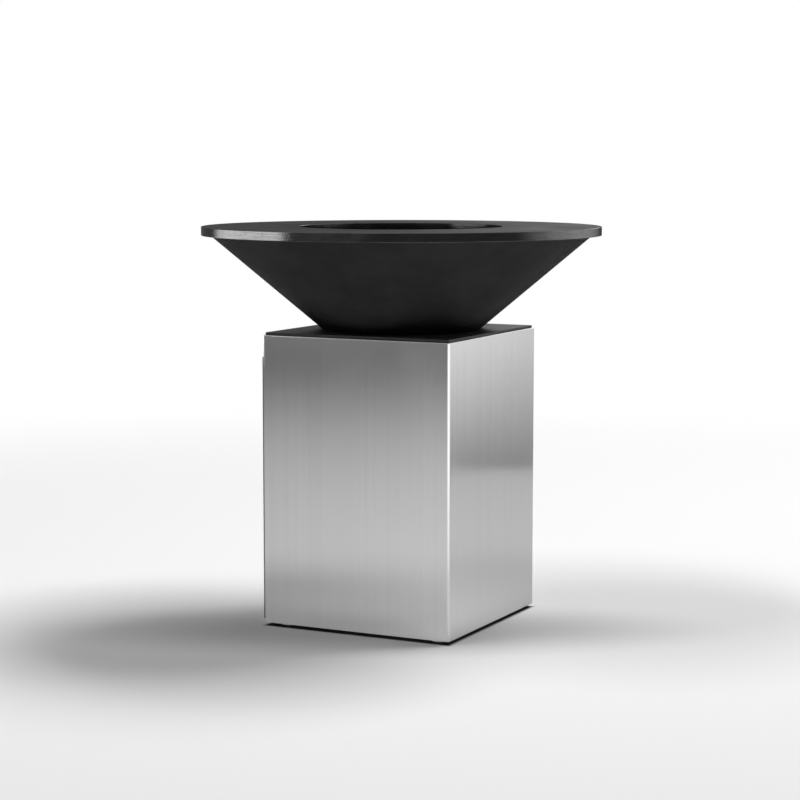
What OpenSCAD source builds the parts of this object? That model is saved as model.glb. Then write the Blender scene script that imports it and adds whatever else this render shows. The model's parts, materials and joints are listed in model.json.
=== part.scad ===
// Wood-fired plancha grill: a thick steel ring over a conical fire bowl,
// on a square stainless pedestal with a door, an ash drawer and an air damper.
// Millimetres, +Z up. The origin is the centre of the pedestal on the floor.
// The wide bare face looks along -Y and the door is in the -X face.

/* [Pedestal casing] */
// Width of each side of the square pedestal
pedestal_w = 500; // [440:5:600]
// Height of the stainless casing
casing_h = 705; // [620:5:800]
// Thickness of the casing's sheet
sheet_t = 2; // [1.5:0.5:3]
// Outside radius of the casing's upright bends
bend_r = 7; // [4:0.5:12]
// Width of the flanges turned inwards at the top and bottom
flange_w = 30; // [26:1:36]

/* [Corner posts and door frame] */
// Leg of each corner post's angle section
post_leg = 22; // [18:1:26]
// Thickness of each corner post
post_t = 3; // [2:0.5:4]
// Width of the door frame's bars
jamb_w = 21; // [18:1:30]
// Thickness of the door frame's bars
frame_t = 4; // [3:0.5:6]

/* [Floor and feet] */
// Thickness of the floor sheet
floor_sheet_t = 2; // [1.5:0.5:3]
// Height of the floor sheet's turned-up edges
floor_lip_h = 15; // [8:1:18]
// Length of the air slots in the floor
vent_len = 160; // [80:5:220]
// Width of the air slots in the floor
vent_w = 10; // [6:1:14]
// Distance from one air slot to the next
vent_pitch = 32; // [24:1:44]
// Number of air slots in the floor
vent_count = 5; // [1:1:7]
// Side of each square foot bracket
bracket_w = 65; // [55:1:80]
// Thickness of each foot bracket
bracket_t = 5; // [4:1:8]
// Radius of each foot's round pad
pad_r = 20; // [15:1:24]
// Thickness of each foot's round pad
pad_t = 4; // [3:0.5:6]
// Length of the foot's hexagonal neck between the pad and the bracket
neck_h = 6; // [5:0.5:14]
// Radius of each foot's stud
foot_stud_r = 5; // [4:0.5:6]
// Length of each foot's stud above its neck
foot_stud_len = 36; // [30:1:50]

/* [Deck] */
// Thickness of the black deck plate
deck_t = 6; // [4:1:10]
// Setback of the deck plate's edge from the casing's sides
deck_inset = 5; // [0:0.5:8]
// Corner radius of the deck plate
deck_corner_r = 4; // [3:0.5:10]
// Radius of the studs welded under the deck
deck_stud_r = 4; // [3:0.5:5]
// Length of the studs welded under the deck
deck_stud_len = 16; // [14:1:24]

/* [Fire bowl] */
// Outside radius of the bowl's foot, on the deck
bowl_foot_r = 193; // [185:1:205]
// Height of the bowl from the deck to the rim
bowl_h = 231; // [190:1:280]
// Thickness of the bowl's rolled wall
bowl_wall = 3; // [2:0.5:5]
// Thickness of the bowl's floor
bowl_floor_t = 4; // [3:1:8]
// Width of the flat ring inside the bowl's rim
rim_w = 45; // [35:1:60]
// Thickness of the flat ring inside the bowl's rim
rim_t = 5; // [4:1:8]

/* [Cooking plate] */
// Outside diameter of the cooking plate
plate_d = 978; // [900:2:1080]
// Thickness of the cooking plate
plate_t = 21; // [12:1:25]
// Diameter of the hole in the middle of the cooking plate
plate_hole_d = 498; // [440:2:560]
// Chamfer on the cooking plate's edges
plate_chamfer = 1; // [0.5:0.5:3]
// Overhang of the cooking plate past the bowl's rim
plate_overhang = 22; // [5:1:40]
// Radius of the locating pegs under the cooking plate
peg_r = 8; // [5:1:12]
// Length of the locating pegs
peg_len = 16; // [10:1:25]

/* [Fire grate] */
// Thickness of the grate's bars
grate_t = 12; // [8:1:18]
// Height of the grate's legs
grate_leg_h = 12; // [10:1:25]
// Radius of the grate's legs
grate_leg_r = 9; // [6:1:12]
// Width of the slots between the bars
grate_slot_w = 12; // [8:1:16]
// Width of the grate's bars
grate_bar_w = 10; // [8:1:16]
// Width of the grate's solid border
grate_border = 14; // [10:1:22]

/* [Air and ash] */
// Radius of each air and ash hole in the deck
ash_hole_r = 23; // [15:1:24]
// Distance from the middle of the deck to the centre of each ash hole
ash_ring_r = 65; // [65:1:78]
// Thickness of the damper disc and its lever
damper_t = 3; // [2:0.5:4]
// Width of the damper's lever
lever_w = 24; // [16:1:30]
// Radius of the knob under the lever's end
knob_r = 9; // [7:0.5:12]
// Length of the knob under the lever's end
knob_len = 20; // [15:1:30]
// Radius of the damper's pivot bolt
pivot_r = 6; // [4:0.5:8]
// Thickness of the ash chute's wall
chute_t = 2; // [1.5:0.5:4]
// Height of the ash chute below the deck
chute_h = 68; // [60:1:90]
// Height of the windows at the chute's top
chute_window_h = 24; // [20:1:30]
// Width of the tabs that hang the chute from the deck
chute_tab_w = 26; // [18:1:36]
// Thickness of the ash drawer's sheet
pan_t = 1.5; // [1:0.5:3]
// Length of the ash drawer, from front to back
pan_len = 300; // [270:5:320]
// Depth of the ash drawer
pan_depth = 90; // [60:5:140]
// Width of the lips that carry the ash drawer
pan_lip_w = 18; // [15:1:22]
// Thickness of the drawer rails
rail_t = 2; // [1.5:0.5:3]
// Width of each rail's foot
rail_foot_w = 15; // [12:1:18]

/* [Door] */
// Thickness of the door panel
door_t = 3; // [2:0.5:4]
// Distance from the casing's top to the door's top
door_top_margin = 54; // [45:1:80]
// Distance from the casing's bottom to the door's bottom
door_bottom_margin = 8; // [4:1:12]
// Distance from the front bend to the door's free edge
door_front_margin = 5; // [2:1:12]
// Distance from the rear bend to the door's hinge edge
door_hinge_margin = 26; // [24:1:30]
// Overlap of the door on the casing above and below its opening
door_lap = 20; // [12:1:30]
// Depth of the stiffening channels inside the door
rib_depth = 12; // [8:1:14]
// Width of the stiffening channels inside the door
rib_w = 30; // [20:1:40]
// Thickness of the stiffening channels
rib_t = 1.5; // [1:0.5:2.5]

/* [Hinges] */
// Outside radius of the hinge knuckles
knuckle_r = 7; // [6:0.5:8]
// Length of each hinge knuckle
knuckle_len = 30; // [20:1:45]
// Radius of the hinge pins
hinge_pin_r = 4; // [3:0.5:4.5]
// Thickness of the hinge leaves
leaf_t = 3; // [2:0.5:4]
// Width of the hinge leaf on the door
leaf_w = 30; // [20:1:45]
// Distance from the door's ends to the middle of each hinge
hinge_end_gap = 95; // [60:1:160]

/* [Door handle and catch] */
// Length of the door handle between its post centres
handle_len = 200; // [120:5:260]
// Radius of the door handle's bar
handle_r = 5; // [4:0.5:6]
// Distance from the door to the outside of the handle
handle_reach = 28; // [24:1:32]
// Distance from the door's free edge to the handle
handle_inset = 60; // [55:1:90]
// Distance from the door's top to the middle of the handle
handle_drop = 170; // [150:1:230]
// Height of the magnetic catch
catch_h = 46; // [36:1:60]
// Width of the magnetic catch
catch_w = 16; // [12:1:22]
// Depth of the magnetic catch
catch_depth = 14; // [12:1:20]
// Thickness of the strike plate on the door
strike_t = 2; // [1.5:0.5:3]

/* [Clearances] */
// Radial clearance of turning and sliding fits
running_gap = 0.05; // [0.02:0.01:0.1]
// Radial clearance of bolts in their holes
bolt_gap = 0.5; // [0.3:0.1:1]
// Gap between each foot's neck and the bottom flange's edge
neck_gap = 3; // [1:0.5:6]
// Gap between the damper disc and the deck
damper_gap = 0.5; // [0.3:0.1:1]
// Gap between the chute's bottom and the ash drawer's top
pan_gap = 9; // [5:1:15]
// Side clearance of the ash drawer's lips in its rails
rail_gap = 2.5; // [1:0.5:4]
// Gap between the pegs and the ring in the bowl's rim
peg_gap = 3; // [1:0.5:6]
// Gap between the grate and the bowl's wall
grate_gap = 6; // [3:1:12]
// Gap between the moving door knuckle and the casing
knuckle_gap = 0.4; // [0.3:0.1:0.8]
// Gap between the handle's lower screw and the top of the catch
catch_gap = 24; // [10:1:40]

/* [Hidden] */

// Round things have many facets, the small ones fewer
$fn = 96;
FINE = 180;
// Overrun of a cutting shape past the face it cuts
CUT = 1;
SIDES = [-1, 1];
QUARTERS = [0, 90, 180, 270];

// Colours as the photograph shows them
STAINLESS = [0.72, 0.73, 0.74];
BLACK_STEEL = [0.15, 0.15, 0.16];
PLATE_STEEL = [0.3, 0.3, 0.3];
BARE_STEEL = [0.55, 0.55, 0.56];
ZINC = [0.78, 0.77, 0.72];
PLASTIC = [0.2, 0.2, 0.2];

// Levels, from the floor up
half_w = pedestal_w / 2;
inner_half = half_w - sheet_t;
least_bend_r = 0.5;
casing_z0 = pad_t + neck_h - sheet_t;
floor_edge_gap = 1;
casing_z1 = casing_z0 + casing_h;
floor_z = casing_z0 + sheet_t;
bracket_top = floor_z + bracket_t;
deck_z0 = casing_z1;
deck_z1 = deck_z0 + deck_t;
bowl_z0 = deck_z1;
rim_z = bowl_z0 + bowl_h;
plate_z1 = rim_z + plate_t;

// Cone of the bowl
plate_r = plate_d / 2;
plate_hole_r = plate_hole_d / 2;
bowl_rim_r = plate_r - plate_overhang;
bowl_slope = (bowl_rim_r - bowl_foot_r) / bowl_h;
wall_run = bowl_wall * sqrt(1 + bowl_slope * bowl_slope);
rim_hole_r = bowl_rim_r - wall_run - rim_w;
peg_ring_r = rim_hole_r - peg_gap - peg_r;
function bowl_in_r(z) = bowl_foot_r + bowl_slope * (z - bowl_z0) - wall_run;

// Doorway, from the posts and the frame's bars inwards
opening_half = inner_half - post_leg - jamb_w;
door_z0 = casing_z0 + door_bottom_margin;
door_z1 = casing_z1 - door_top_margin;
door_y0 = -half_w + door_front_margin;
door_y1 = half_w - door_hinge_margin;
opening_z0 = door_z0 + door_lap;
opening_z1 = door_z1 - door_lap;
door_face_x = -half_w - door_t;

// Hinge axis
hinge_x = -half_w - knuckle_r - knuckle_gap;
hinge_edge_gap = 1;
hinge_y = door_y1 + knuckle_r + hinge_edge_gap;
hinge_levels = [door_z0 + hinge_end_gap, door_z1 - hinge_end_gap];
pin_head_h = 2;
pin_head_r = hinge_pin_r + pin_head_h;
leaf_bend_gap = 0.5;

// Hexagon hardware: across flats and height for each thread radius
hex_flats_per_r = 3.4;
hex_height_per_r = 1.4;
function hex_flats(thread_r) = hex_flats_per_r * thread_r;
function hex_height(thread_r) = hex_height_per_r * thread_r;
foot_centre = inner_half - flange_w - neck_gap - hex_flats(foot_stud_r) / 2 / cos(30);
bracket_outer = inner_half - max(post_t, frame_t);
deck_stud_ring = inner_half - flange_w / 2;
bowl_bolt_r = 5;
bolt_head_h = 0.9 * hex_height(bowl_bolt_r);
bolt_thread_past_nut = 3;

// Fire grate
grate_z0 = bowl_z0 + bowl_floor_t + grate_leg_h;
hole_pass_gap = 12;
grate_r = min(bowl_in_r(grate_z0) - grate_gap, plate_hole_r - hole_pass_gap);
grate_pitch = grate_slot_w + grate_bar_w;
grate_slot_r = grate_r - grate_border;
grate_slots_per_side = floor((grate_slot_r - grate_slot_w) / grate_pitch);
grate_rib_extra = 4;
grate_rib_w = grate_bar_w + grate_rib_extra;
shortest_slot = 30;

// Air damper and ash path
damper_lap = 27;
damper_r = ash_ring_r + ash_hole_r + damper_lap;
damper_z1 = deck_z0 - damper_gap;
damper_z0 = damper_z1 - damper_t;
lever_end_gap = 13;
lever_r = inner_half - flange_w - lever_end_gap;
lever_angle = 157.5;
knob_groove = 2.25;
pivot_shoulder = 3;
pivot_head_r = pivot_r + pivot_shoulder;
pivot_head_h = 6;
washer_t = 2;
washer_rim = 7.2;
washer_r = pivot_r + washer_rim;
damper_chute_gap = 3;
chute_in_r = damper_r + damper_chute_gap;
chute_r = chute_in_r + chute_t;
chute_z0 = deck_z0 - chute_h;
floor_hole_lap = 17;
bowl_hole_r = ash_ring_r + ash_hole_r + floor_hole_lap;
bowl_bolt_ring_r = (bowl_hole_r + bowl_in_r(bowl_z0)) / 2;
grate_leg_ring_r = bowl_bolt_ring_r;

// Ash drawer and its rails
door_pass_gap = 7;
pan_outer_half = opening_half - door_pass_gap;
pan_half = pan_outer_half - pan_lip_w;
pan_back_gap = 78;
pan_x1 = inner_half - pan_back_gap;
pan_x0 = pan_x1 - pan_len;
pan_z1 = chute_z0 - pan_gap;
pan_z0 = pan_z1 - pan_depth;
rail_y = pan_outer_half + rail_gap;
rail_foot_z = pan_z1 - pan_t - rail_t;
rail_weld_w = 12;
rail_front_len = 20;
rail_stop_t = 3;
rail_stop_h = 12;
drawer_handle_len = 110;
drawer_handle_r = 4;
drawer_handle_reach = 25;
drawer_handle_drop = 40;

// Door furniture
handle_y = door_y0 + handle_inset;
handle_z = door_z1 - handle_drop;
handle_bend_inside = 7;
handle_bend = handle_r + handle_bend_inside;
screw_r = 2.5;
screw_head_r = 4.5;
screw_head_h = 3;
screw_grip = 12;
rib_end_gap = 25;
catch_z = handle_z - handle_len / 2 - screw_head_r - catch_gap - catch_h / 2;
catch_edge_gap = 2;
catch_y0 = -opening_half + catch_edge_gap;
catch_x0 = -half_w + strike_t;
catch_wall = 3;
catch_ear_w = 14;
catch_ear_t = 3;
catch_screw_offset = catch_h / 4;

// A square in plan with round corners, drawn from exact squares and circles
module rounded_square(side, r) {
    square([side - 2 * r, side], center = true);
    square([side, side - 2 * r], center = true);
    for (sx = SIDES, sy = SIDES) {
        translate([sx * (side / 2 - r), sy * (side / 2 - r)]) circle(r = r);
    }
}

// Children mirrored to the sides given by the signs of sx and sy
module to_corner(sx, sy) {
    mirror([sx < 0 ? 1 : 0, 0, 0]) mirror([0, sy < 0 ? 1 : 0, 0]) children();
}

// A square with its corner at the origin rounded, reaching back along -X and -Y
module corner_square(side, r) {
    translate([-side, -side]) square([side, side - r]);
    translate([-side, -side]) square([side - r, side]);
    translate([-r, -r]) circle(r = r);
}

// A box given by its two opposite corners
module box(low, high) {
    translate(low) cube(high - low);
}

// A hexagon prism given by its size across the flats
module hex_prism(flats, h) {
    cylinder(r = flats / 2 / cos(30), h = h, $fn = 6);
}

// A plain ring standing on z = 0
module ring(r_out, r_in, h) {
    difference() {
        cylinder(r = r_out, h = h);
        translate([0, 0, -CUT]) cylinder(r = r_in, h = h + 2 * CUT);
    }
}

// A hexagon nut standing on z = 0
module hex_nut(thread_r) {
    difference() {
        hex_prism(hex_flats(thread_r), hex_height(thread_r));
        translate([0, 0, -CUT])
            cylinder(r = thread_r + running_gap, h = hex_height(thread_r) + 2 * CUT);
    }
}

// A bow handle: two posts along +X from x = 0 and a bar along Z, with round elbows
module bow_handle(len, reach, r, bend) {
    bar_x = reach - r;
    for (side = SIDES) {
        translate([0, 0, side * len / 2]) rotate([0, 90, 0]) cylinder(r = r, h = bar_x - bend);
        translate([bar_x - bend, 0, side * (len / 2 - bend)]) rotate([90, 0, 0]) {
            rotate([0, 0, side > 0 ? 0 : -90]) rotate_extrude(angle = 90) translate([bend, 0]) circle(r = r);
        }
    }
    translate([bar_x, 0, -len / 2 + bend]) cylinder(r = r, h = len - 2 * bend);
}

// Folded stainless shell: four walls, the flanges and the doorway
module casing() {
    color(STAINLESS) difference() {
        translate([0, 0, casing_z0]) linear_extrude(casing_h) rounded_square(pedestal_w, bend_r);
        translate([0, 0, casing_z0 + sheet_t]) linear_extrude(casing_h - 2 * sheet_t)
            rounded_square(2 * inner_half, bend_r - sheet_t);
        translate([0, 0, casing_z0 - CUT]) linear_extrude(casing_h + 2 * CUT)
            square(2 * (inner_half - flange_w), center = true);
        box([-half_w - CUT, -opening_half, opening_z0], [-half_w + sheet_t + CUT, opening_half, opening_z1]);
        for (a = QUARTERS) {
            rotate([0, 0, a]) translate([deck_stud_ring, 0, casing_z1 - sheet_t - CUT])
                cylinder(r = deck_stud_r + bolt_gap, h = sheet_t + 2 * CUT);
        }
    }
}

// Four angle posts that carry the deck, one in each corner
module corner_posts() {
    outer_r = bend_r - sheet_t;
    inner_r = max(outer_r - post_t, least_bend_r);
    color(BARE_STEEL) for (sx = SIDES, sy = SIDES) {
        to_corner(sx, sy) translate([inner_half, inner_half, floor_z])
            linear_extrude(casing_h - 2 * sheet_t) difference() {
                corner_square(post_leg, outer_r);
                translate([-post_t, -post_t]) corner_square(post_leg, inner_r);
            }
    }
}

// Rectangular frame welded behind the doorway
module door_frame() {
    color(BARE_STEEL) difference() {
        box([-inner_half, -opening_half - jamb_w, max(opening_z0 - jamb_w, floor_z)],
            [-inner_half + frame_t, opening_half + jamb_w, opening_z1 + jamb_w]);
        box([-inner_half - CUT, -opening_half, opening_z0],
            [-inner_half + frame_t + CUT, opening_half, opening_z1]);
        for (side = SIDES) {
            translate([-inner_half - CUT, catch_y0 - catch_edge_gap - catch_ear_w / 2,
                       catch_z + side * catch_screw_offset]) rotate([0, 90, 0])
                cylinder(r = screw_r + running_gap, h = frame_t + 2 * CUT);
        }
    }
}

// Floor sheet with notched corners, turned-up edges and air slots
module floor_sheet() {
    half = inner_half - frame_t - floor_edge_gap;
    notch = bracket_outer - bracket_w - floor_edge_gap;
    color(STAINLESS) difference() {
        union() {
            for (a = [0, 90]) {
                rotate([0, 0, a]) box([-half, -notch, floor_z], [half, notch, floor_z + floor_sheet_t]);
            }
            for (a = QUARTERS) {
                rotate([0, 0, a])
                    box([half - floor_sheet_t, -notch, floor_z], [half, notch, floor_z + floor_lip_h]);
            }
        }
        for (i = [0 : vent_count - 1]) {
            slot_y = (i - (vent_count - 1) / 2) * vent_pitch;
            box([-vent_len / 2, slot_y - vent_w / 2, floor_z - CUT],
                [vent_len / 2, slot_y + vent_w / 2, floor_z + floor_sheet_t + CUT]);
        }
    }
}

// Threaded plates on the bottom flange, one in each corner
module foot_brackets() {
    inner = bracket_outer - bracket_w;
    color(BARE_STEEL) for (sx = SIDES, sy = SIDES) {
        to_corner(sx, sy) difference() {
            box([inner, inner, floor_z], [bracket_outer, bracket_outer, floor_z + bracket_t]);
            translate([foot_centre, foot_centre, floor_z - CUT])
                cylinder(r = foot_stud_r + running_gap, h = bracket_t + 2 * CUT);
        }
    }
}

// Lock nuts on the foot brackets
module foot_lock_nuts() {
    color(ZINC) for (sx = SIDES, sy = SIDES) {
        translate([sx * foot_centre, sy * foot_centre, bracket_top]) hex_nut(foot_stud_r);
    }
}

// One levelling foot: pad, hexagonal neck and stud in one piece
module levelling_foot(sx, sy) {
    color(ZINC) translate([sx * foot_centre, sy * foot_centre, 0]) {
        cylinder(r = pad_r, h = pad_t);
        translate([0, 0, pad_t]) hex_prism(hex_flats(foot_stud_r), neck_h);
        translate([0, 0, pad_t + neck_h]) cylinder(r = foot_stud_r, h = foot_stud_len);
    }
}

// Black plate that closes the pedestal's top, with its air and ash holes
module deck_plate() {
    through_h = deck_t + 2 * CUT;
    color(BLACK_STEEL) difference() {
        translate([0, 0, deck_z0]) linear_extrude(deck_t)
            rounded_square(pedestal_w - 2 * deck_inset, deck_corner_r);
        translate([0, 0, deck_z0 - CUT]) {
            cylinder(r = pivot_r + running_gap, h = through_h);
            for (a = QUARTERS) {
                rotate([0, 0, a]) translate([ash_ring_r, 0, 0]) cylinder(r = ash_hole_r, h = through_h);
                rotate([0, 0, a + 45]) translate([bowl_bolt_ring_r, 0, 0])
                    cylinder(r = bowl_bolt_r + bolt_gap, h = through_h);
            }
        }
    }
}

// Studs welded under the deck
module deck_studs() {
    color(ZINC) for (a = QUARTERS) {
        rotate([0, 0, a]) translate([deck_stud_ring, 0, deck_z0 - deck_stud_len])
            cylinder(r = deck_stud_r, h = deck_stud_len);
    }
}

// Nuts that draw the deck down on the top flange
module deck_nuts() {
    color(ZINC) for (a = QUARTERS) {
        rotate([0, 0, a]) translate([deck_stud_ring, 0, deck_z0 - sheet_t - hex_height(deck_stud_r)])
            hex_nut(deck_stud_r);
    }
}

// Rolled conical wall of the fire bowl
module bowl_shell() {
    color(BLACK_STEEL) rotate_extrude($fn = FINE) polygon([
        [bowl_foot_r - wall_run, bowl_z0],
        [bowl_foot_r, bowl_z0],
        [bowl_rim_r, rim_z],
        [bowl_rim_r - wall_run, rim_z]
    ]);
}

// Flat floor of the bowl, with its edge cut to the cone
module bowl_floor() {
    top_z = bowl_z0 + bowl_floor_t;
    color(BLACK_STEEL) difference() {
        rotate_extrude($fn = FINE) polygon([
            [bowl_hole_r, bowl_z0],
            [bowl_in_r(bowl_z0), bowl_z0],
            [bowl_in_r(top_z), top_z],
            [bowl_hole_r, top_z]
        ]);
        for (a = QUARTERS) {
            rotate([0, 0, a + 45]) translate([bowl_bolt_ring_r, 0, bowl_z0 - CUT])
                cylinder(r = bowl_bolt_r + bolt_gap, h = bowl_floor_t + 2 * CUT);
        }
    }
}

// Flat ring inside the rim, on which the cooking plate rests
module rim_ring() {
    low_z = rim_z - rim_t;
    color(BLACK_STEEL) rotate_extrude($fn = FINE) polygon([
        [rim_hole_r, low_z],
        [bowl_in_r(low_z), low_z],
        [bowl_in_r(rim_z), rim_z],
        [rim_hole_r, rim_z]
    ]);
}

// Bolts that hold the bowl down on the deck
module bowl_bolts() {
    shank_h = bowl_floor_t + deck_t + hex_height(bowl_bolt_r) + bolt_thread_past_nut;
    color(ZINC) for (a = QUARTERS) {
        rotate([0, 0, a + 45]) translate([bowl_bolt_ring_r, 0, bowl_z0 + bowl_floor_t]) {
            hex_prism(hex_flats(bowl_bolt_r), bolt_head_h);
            translate([0, 0, -shank_h]) cylinder(r = bowl_bolt_r, h = shank_h);
        }
    }
}

// Nuts of the bowl's bolts, under the deck
module bowl_nuts() {
    color(ZINC) for (a = QUARTERS) {
        rotate([0, 0, a + 45]) translate([bowl_bolt_ring_r, 0, deck_z0 - hex_height(bowl_bolt_r)])
            hex_nut(bowl_bolt_r);
    }
}

// Cast grate on four legs, with straight slots either side of a middle rib
module fire_grate() {
    color(PLATE_STEEL) {
        difference() {
            translate([0, 0, grate_z0]) cylinder(r = grate_r, h = grate_t);
            for (i = [-grate_slots_per_side : grate_slots_per_side], side = SIDES) {
                slot_x = i * grate_pitch;
                far_x = abs(slot_x) + grate_slot_w / 2;
                slot_end = sqrt(max(0, grate_slot_r * grate_slot_r - far_x * far_x));
                if (slot_end > grate_rib_w / 2 + shortest_slot) {
                    to_corner(1, side)
                        box([slot_x - grate_slot_w / 2, grate_rib_w / 2, grate_z0 - CUT],
                            [slot_x + grate_slot_w / 2, slot_end, grate_z0 + grate_t + CUT]);
                }
            }
        }
        for (a = QUARTERS) {
            rotate([0, 0, a]) translate([grate_leg_ring_r, 0, grate_z0 - grate_leg_h])
                cylinder(r = grate_leg_r, h = grate_leg_h + grate_t);
        }
    }
}

// Thick flat ring to cook on, chamfered on its four edges
module cooking_plate() {
    c = plate_chamfer;
    color(PLATE_STEEL) rotate_extrude($fn = FINE) polygon([
        [plate_hole_r, rim_z + c],
        [plate_hole_r + c, rim_z],
        [plate_r - c, rim_z],
        [plate_r, rim_z + c],
        [plate_r, plate_z1 - c],
        [plate_r - c, plate_z1],
        [plate_hole_r + c, plate_z1],
        [plate_hole_r, plate_z1 - c]
    ]);
}

// Pegs welded under the cooking plate, which drop inside the rim's ring
module locating_pegs() {
    color(BLACK_STEEL) for (a = QUARTERS) {
        rotate([0, 0, a]) translate([peg_ring_r, 0, rim_z - peg_len]) cylinder(r = peg_r, h = peg_len);
    }
}

// Disc under the deck whose four holes open or close the deck's holes
module damper_disc() {
    color(BARE_STEEL) difference() {
        union() {
            translate([0, 0, damper_z0]) cylinder(r = damper_r, h = damper_t);
            rotate([0, 0, lever_angle]) box([0, -lever_w / 2, damper_z0], [lever_r, lever_w / 2, damper_z1]);
        }
        translate([0, 0, damper_z0 - CUT]) {
            cylinder(r = pivot_r + running_gap, h = damper_t + 2 * CUT);
            for (a = QUARTERS) {
                rotate([0, 0, a]) translate([ash_ring_r, 0, 0])
                    cylinder(r = ash_hole_r, h = damper_t + 2 * CUT);
            }
        }
    }
}

// Turned knob that hangs from the lever's end
module damper_knob() {
    groove_r = knob_r - knob_groove;
    color(STAINLESS) rotate([0, 0, lever_angle])
        translate([lever_r - lever_w / 2, 0, damper_z0 - knob_len]) {
            cylinder(r = knob_r, h = knob_len / 2);
            translate([0, 0, knob_len / 2]) cylinder(r = groove_r, h = knob_len / 2);
        }
}

// Shoulder bolt through the deck that the damper turns on
module damper_pivot() {
    nut_z0 = damper_z0 - washer_t - hex_height(pivot_r);
    end_z = nut_z0 - bolt_thread_past_nut;
    color(ZINC) {
        translate([0, 0, deck_z1]) cylinder(r = pivot_head_r, h = pivot_head_h);
        translate([0, 0, end_z]) cylinder(r = pivot_r, h = deck_z1 - end_z);
    }
}

// Washer that carries the damper on its pivot
module pivot_washer() {
    color(ZINC) translate([0, 0, damper_z0 - washer_t]) ring(washer_r, pivot_r + running_gap, washer_t);
}

// Nut under the washer
module pivot_nut() {
    color(ZINC) translate([0, 0, damper_z0 - washer_t - hex_height(pivot_r)]) hex_nut(pivot_r);
}

// Round chute that hangs from the deck on four tabs, open between them for air
module ash_chute() {
    tab_angle = chute_tab_w / chute_r * 180 / PI;
    window_w = 2 * chute_r * sin(45 - tab_angle / 2);
    color(BARE_STEEL) difference() {
        translate([0, 0, chute_z0]) ring(chute_r, chute_in_r, chute_h);
        for (a = [0, 90]) {
            rotate([0, 0, a]) box([-chute_r - CUT, -window_w / 2, deck_z0 - chute_window_h],
                                  [chute_r + CUT, window_w / 2, deck_z0 + CUT]);
        }
    }
}

// Folded rails under the deck that carry the ash drawer by its lips
module drawer_rails() {
    x0 = pan_x0 - rail_front_len;
    x1 = pan_x1 + rail_stop_t;
    color(STAINLESS) for (side = SIDES) {
        to_corner(1, side) {
            box([x0, rail_y, rail_foot_z], [x1, rail_y + rail_t, deck_z0]);
            box([x0, rail_y - rail_foot_w, rail_foot_z], [x1, rail_y + rail_t, rail_foot_z + rail_t]);
            box([x0, rail_y - rail_weld_w, deck_z0 - rail_t], [x1, rail_y + rail_t, deck_z0]);
            box([pan_x1, rail_y - rail_foot_w, rail_foot_z], [x1, rail_y, rail_foot_z + rail_stop_h]);
        }
    }
}

// Open ash drawer with a lip along each side
module ash_drawer() {
    color(STAINLESS) difference() {
        union() {
            box([pan_x0, -pan_half, pan_z0], [pan_x1, pan_half, pan_z1]);
            box([pan_x0, -pan_outer_half, pan_z1 - pan_t], [pan_x1, pan_outer_half, pan_z1]);
        }
        box([pan_x0 + pan_t, -pan_half + pan_t, pan_z0 + pan_t],
            [pan_x1 - pan_t, pan_half - pan_t, pan_z1 + CUT]);
    }
}

// Bow handle on the ash drawer's front
module drawer_handle() {
    color(STAINLESS) translate([pan_x0, 0, pan_z1 - drawer_handle_drop]) rotate([90, 0, 180])
        bow_handle(drawer_handle_len, drawer_handle_reach, drawer_handle_r, 2 * drawer_handle_r);
}

// Flat door panel that lies on the casing's face
module door_panel() {
    color(STAINLESS) difference() {
        box([door_face_x, door_y0, door_z0], [-half_w, door_y1, door_z1]);
        for (side = SIDES) {
            translate([door_face_x - CUT, handle_y, handle_z + side * handle_len / 2]) rotate([0, 90, 0])
                cylinder(r = screw_r + running_gap, h = door_t + 2 * CUT);
        }
    }
}

// Two upright channels welded inside the door
module door_ribs() {
    z0 = opening_z0 + rib_end_gap;
    z1 = opening_z1 - rib_end_gap;
    color(STAINLESS) for (side = SIDES) {
        rib_y = side * opening_half / 2;
        difference() {
            box([-half_w, rib_y - rib_w / 2, z0], [-half_w + rib_depth, rib_y + rib_w / 2, z1]);
            box([-half_w - CUT, rib_y - rib_w / 2 + rib_t, z0 - CUT],
                [-half_w + rib_depth - rib_t, rib_y + rib_w / 2 - rib_t, z1 + CUT]);
        }
    }
}

// Bow handle near the door's free edge
module door_handle() {
    color(STAINLESS) translate([door_face_x, handle_y, handle_z]) rotate([0, 0, 180]) difference() {
        bow_handle(handle_len, handle_reach, handle_r, handle_bend);
        for (side = SIDES) {
            translate([-CUT, 0, side * handle_len / 2]) rotate([0, 90, 0])
                cylinder(r = screw_r + running_gap, h = screw_grip - door_t + CUT);
        }
    }
}

// Screws from inside the door into the handle's posts
module handle_screws() {
    color(ZINC) for (side = SIDES) {
        translate([-half_w, handle_y, handle_z + side * handle_len / 2]) rotate([0, 90, 0]) {
            cylinder(r = screw_head_r, h = screw_head_h);
            translate([0, 0, -screw_grip]) cylinder(r = screw_r, h = screw_grip);
        }
    }
}

// Lower hinge knuckles, each with a leaf welded to the casing
module hinge_frame_halves() {
    leaf_y1 = half_w - bend_r - leaf_bend_gap;
    color(STAINLESS) for (level = hinge_levels) {
        difference() {
            union() {
                translate([hinge_x, hinge_y, level - knuckle_len]) cylinder(r = knuckle_r, h = knuckle_len);
                box([-half_w - leaf_t, hinge_y, level - knuckle_len], [-half_w, leaf_y1, level]);
            }
            translate([hinge_x, hinge_y, level - knuckle_len - CUT])
                cylinder(r = hinge_pin_r + running_gap, h = knuckle_len + 2 * CUT);
        }
    }
}

// Upper hinge knuckles, each with a leaf on the door's face
module hinge_door_halves() {
    color(STAINLESS) for (level = hinge_levels) {
        difference() {
            union() {
                translate([hinge_x, hinge_y, level]) cylinder(r = knuckle_r, h = knuckle_len);
                box([door_face_x - leaf_t, door_y1 - leaf_w, level],
                    [door_face_x, hinge_y, level + knuckle_len]);
            }
            translate([hinge_x, hinge_y, level - CUT])
                cylinder(r = hinge_pin_r + running_gap, h = knuckle_len + 2 * CUT);
        }
    }
}

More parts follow.
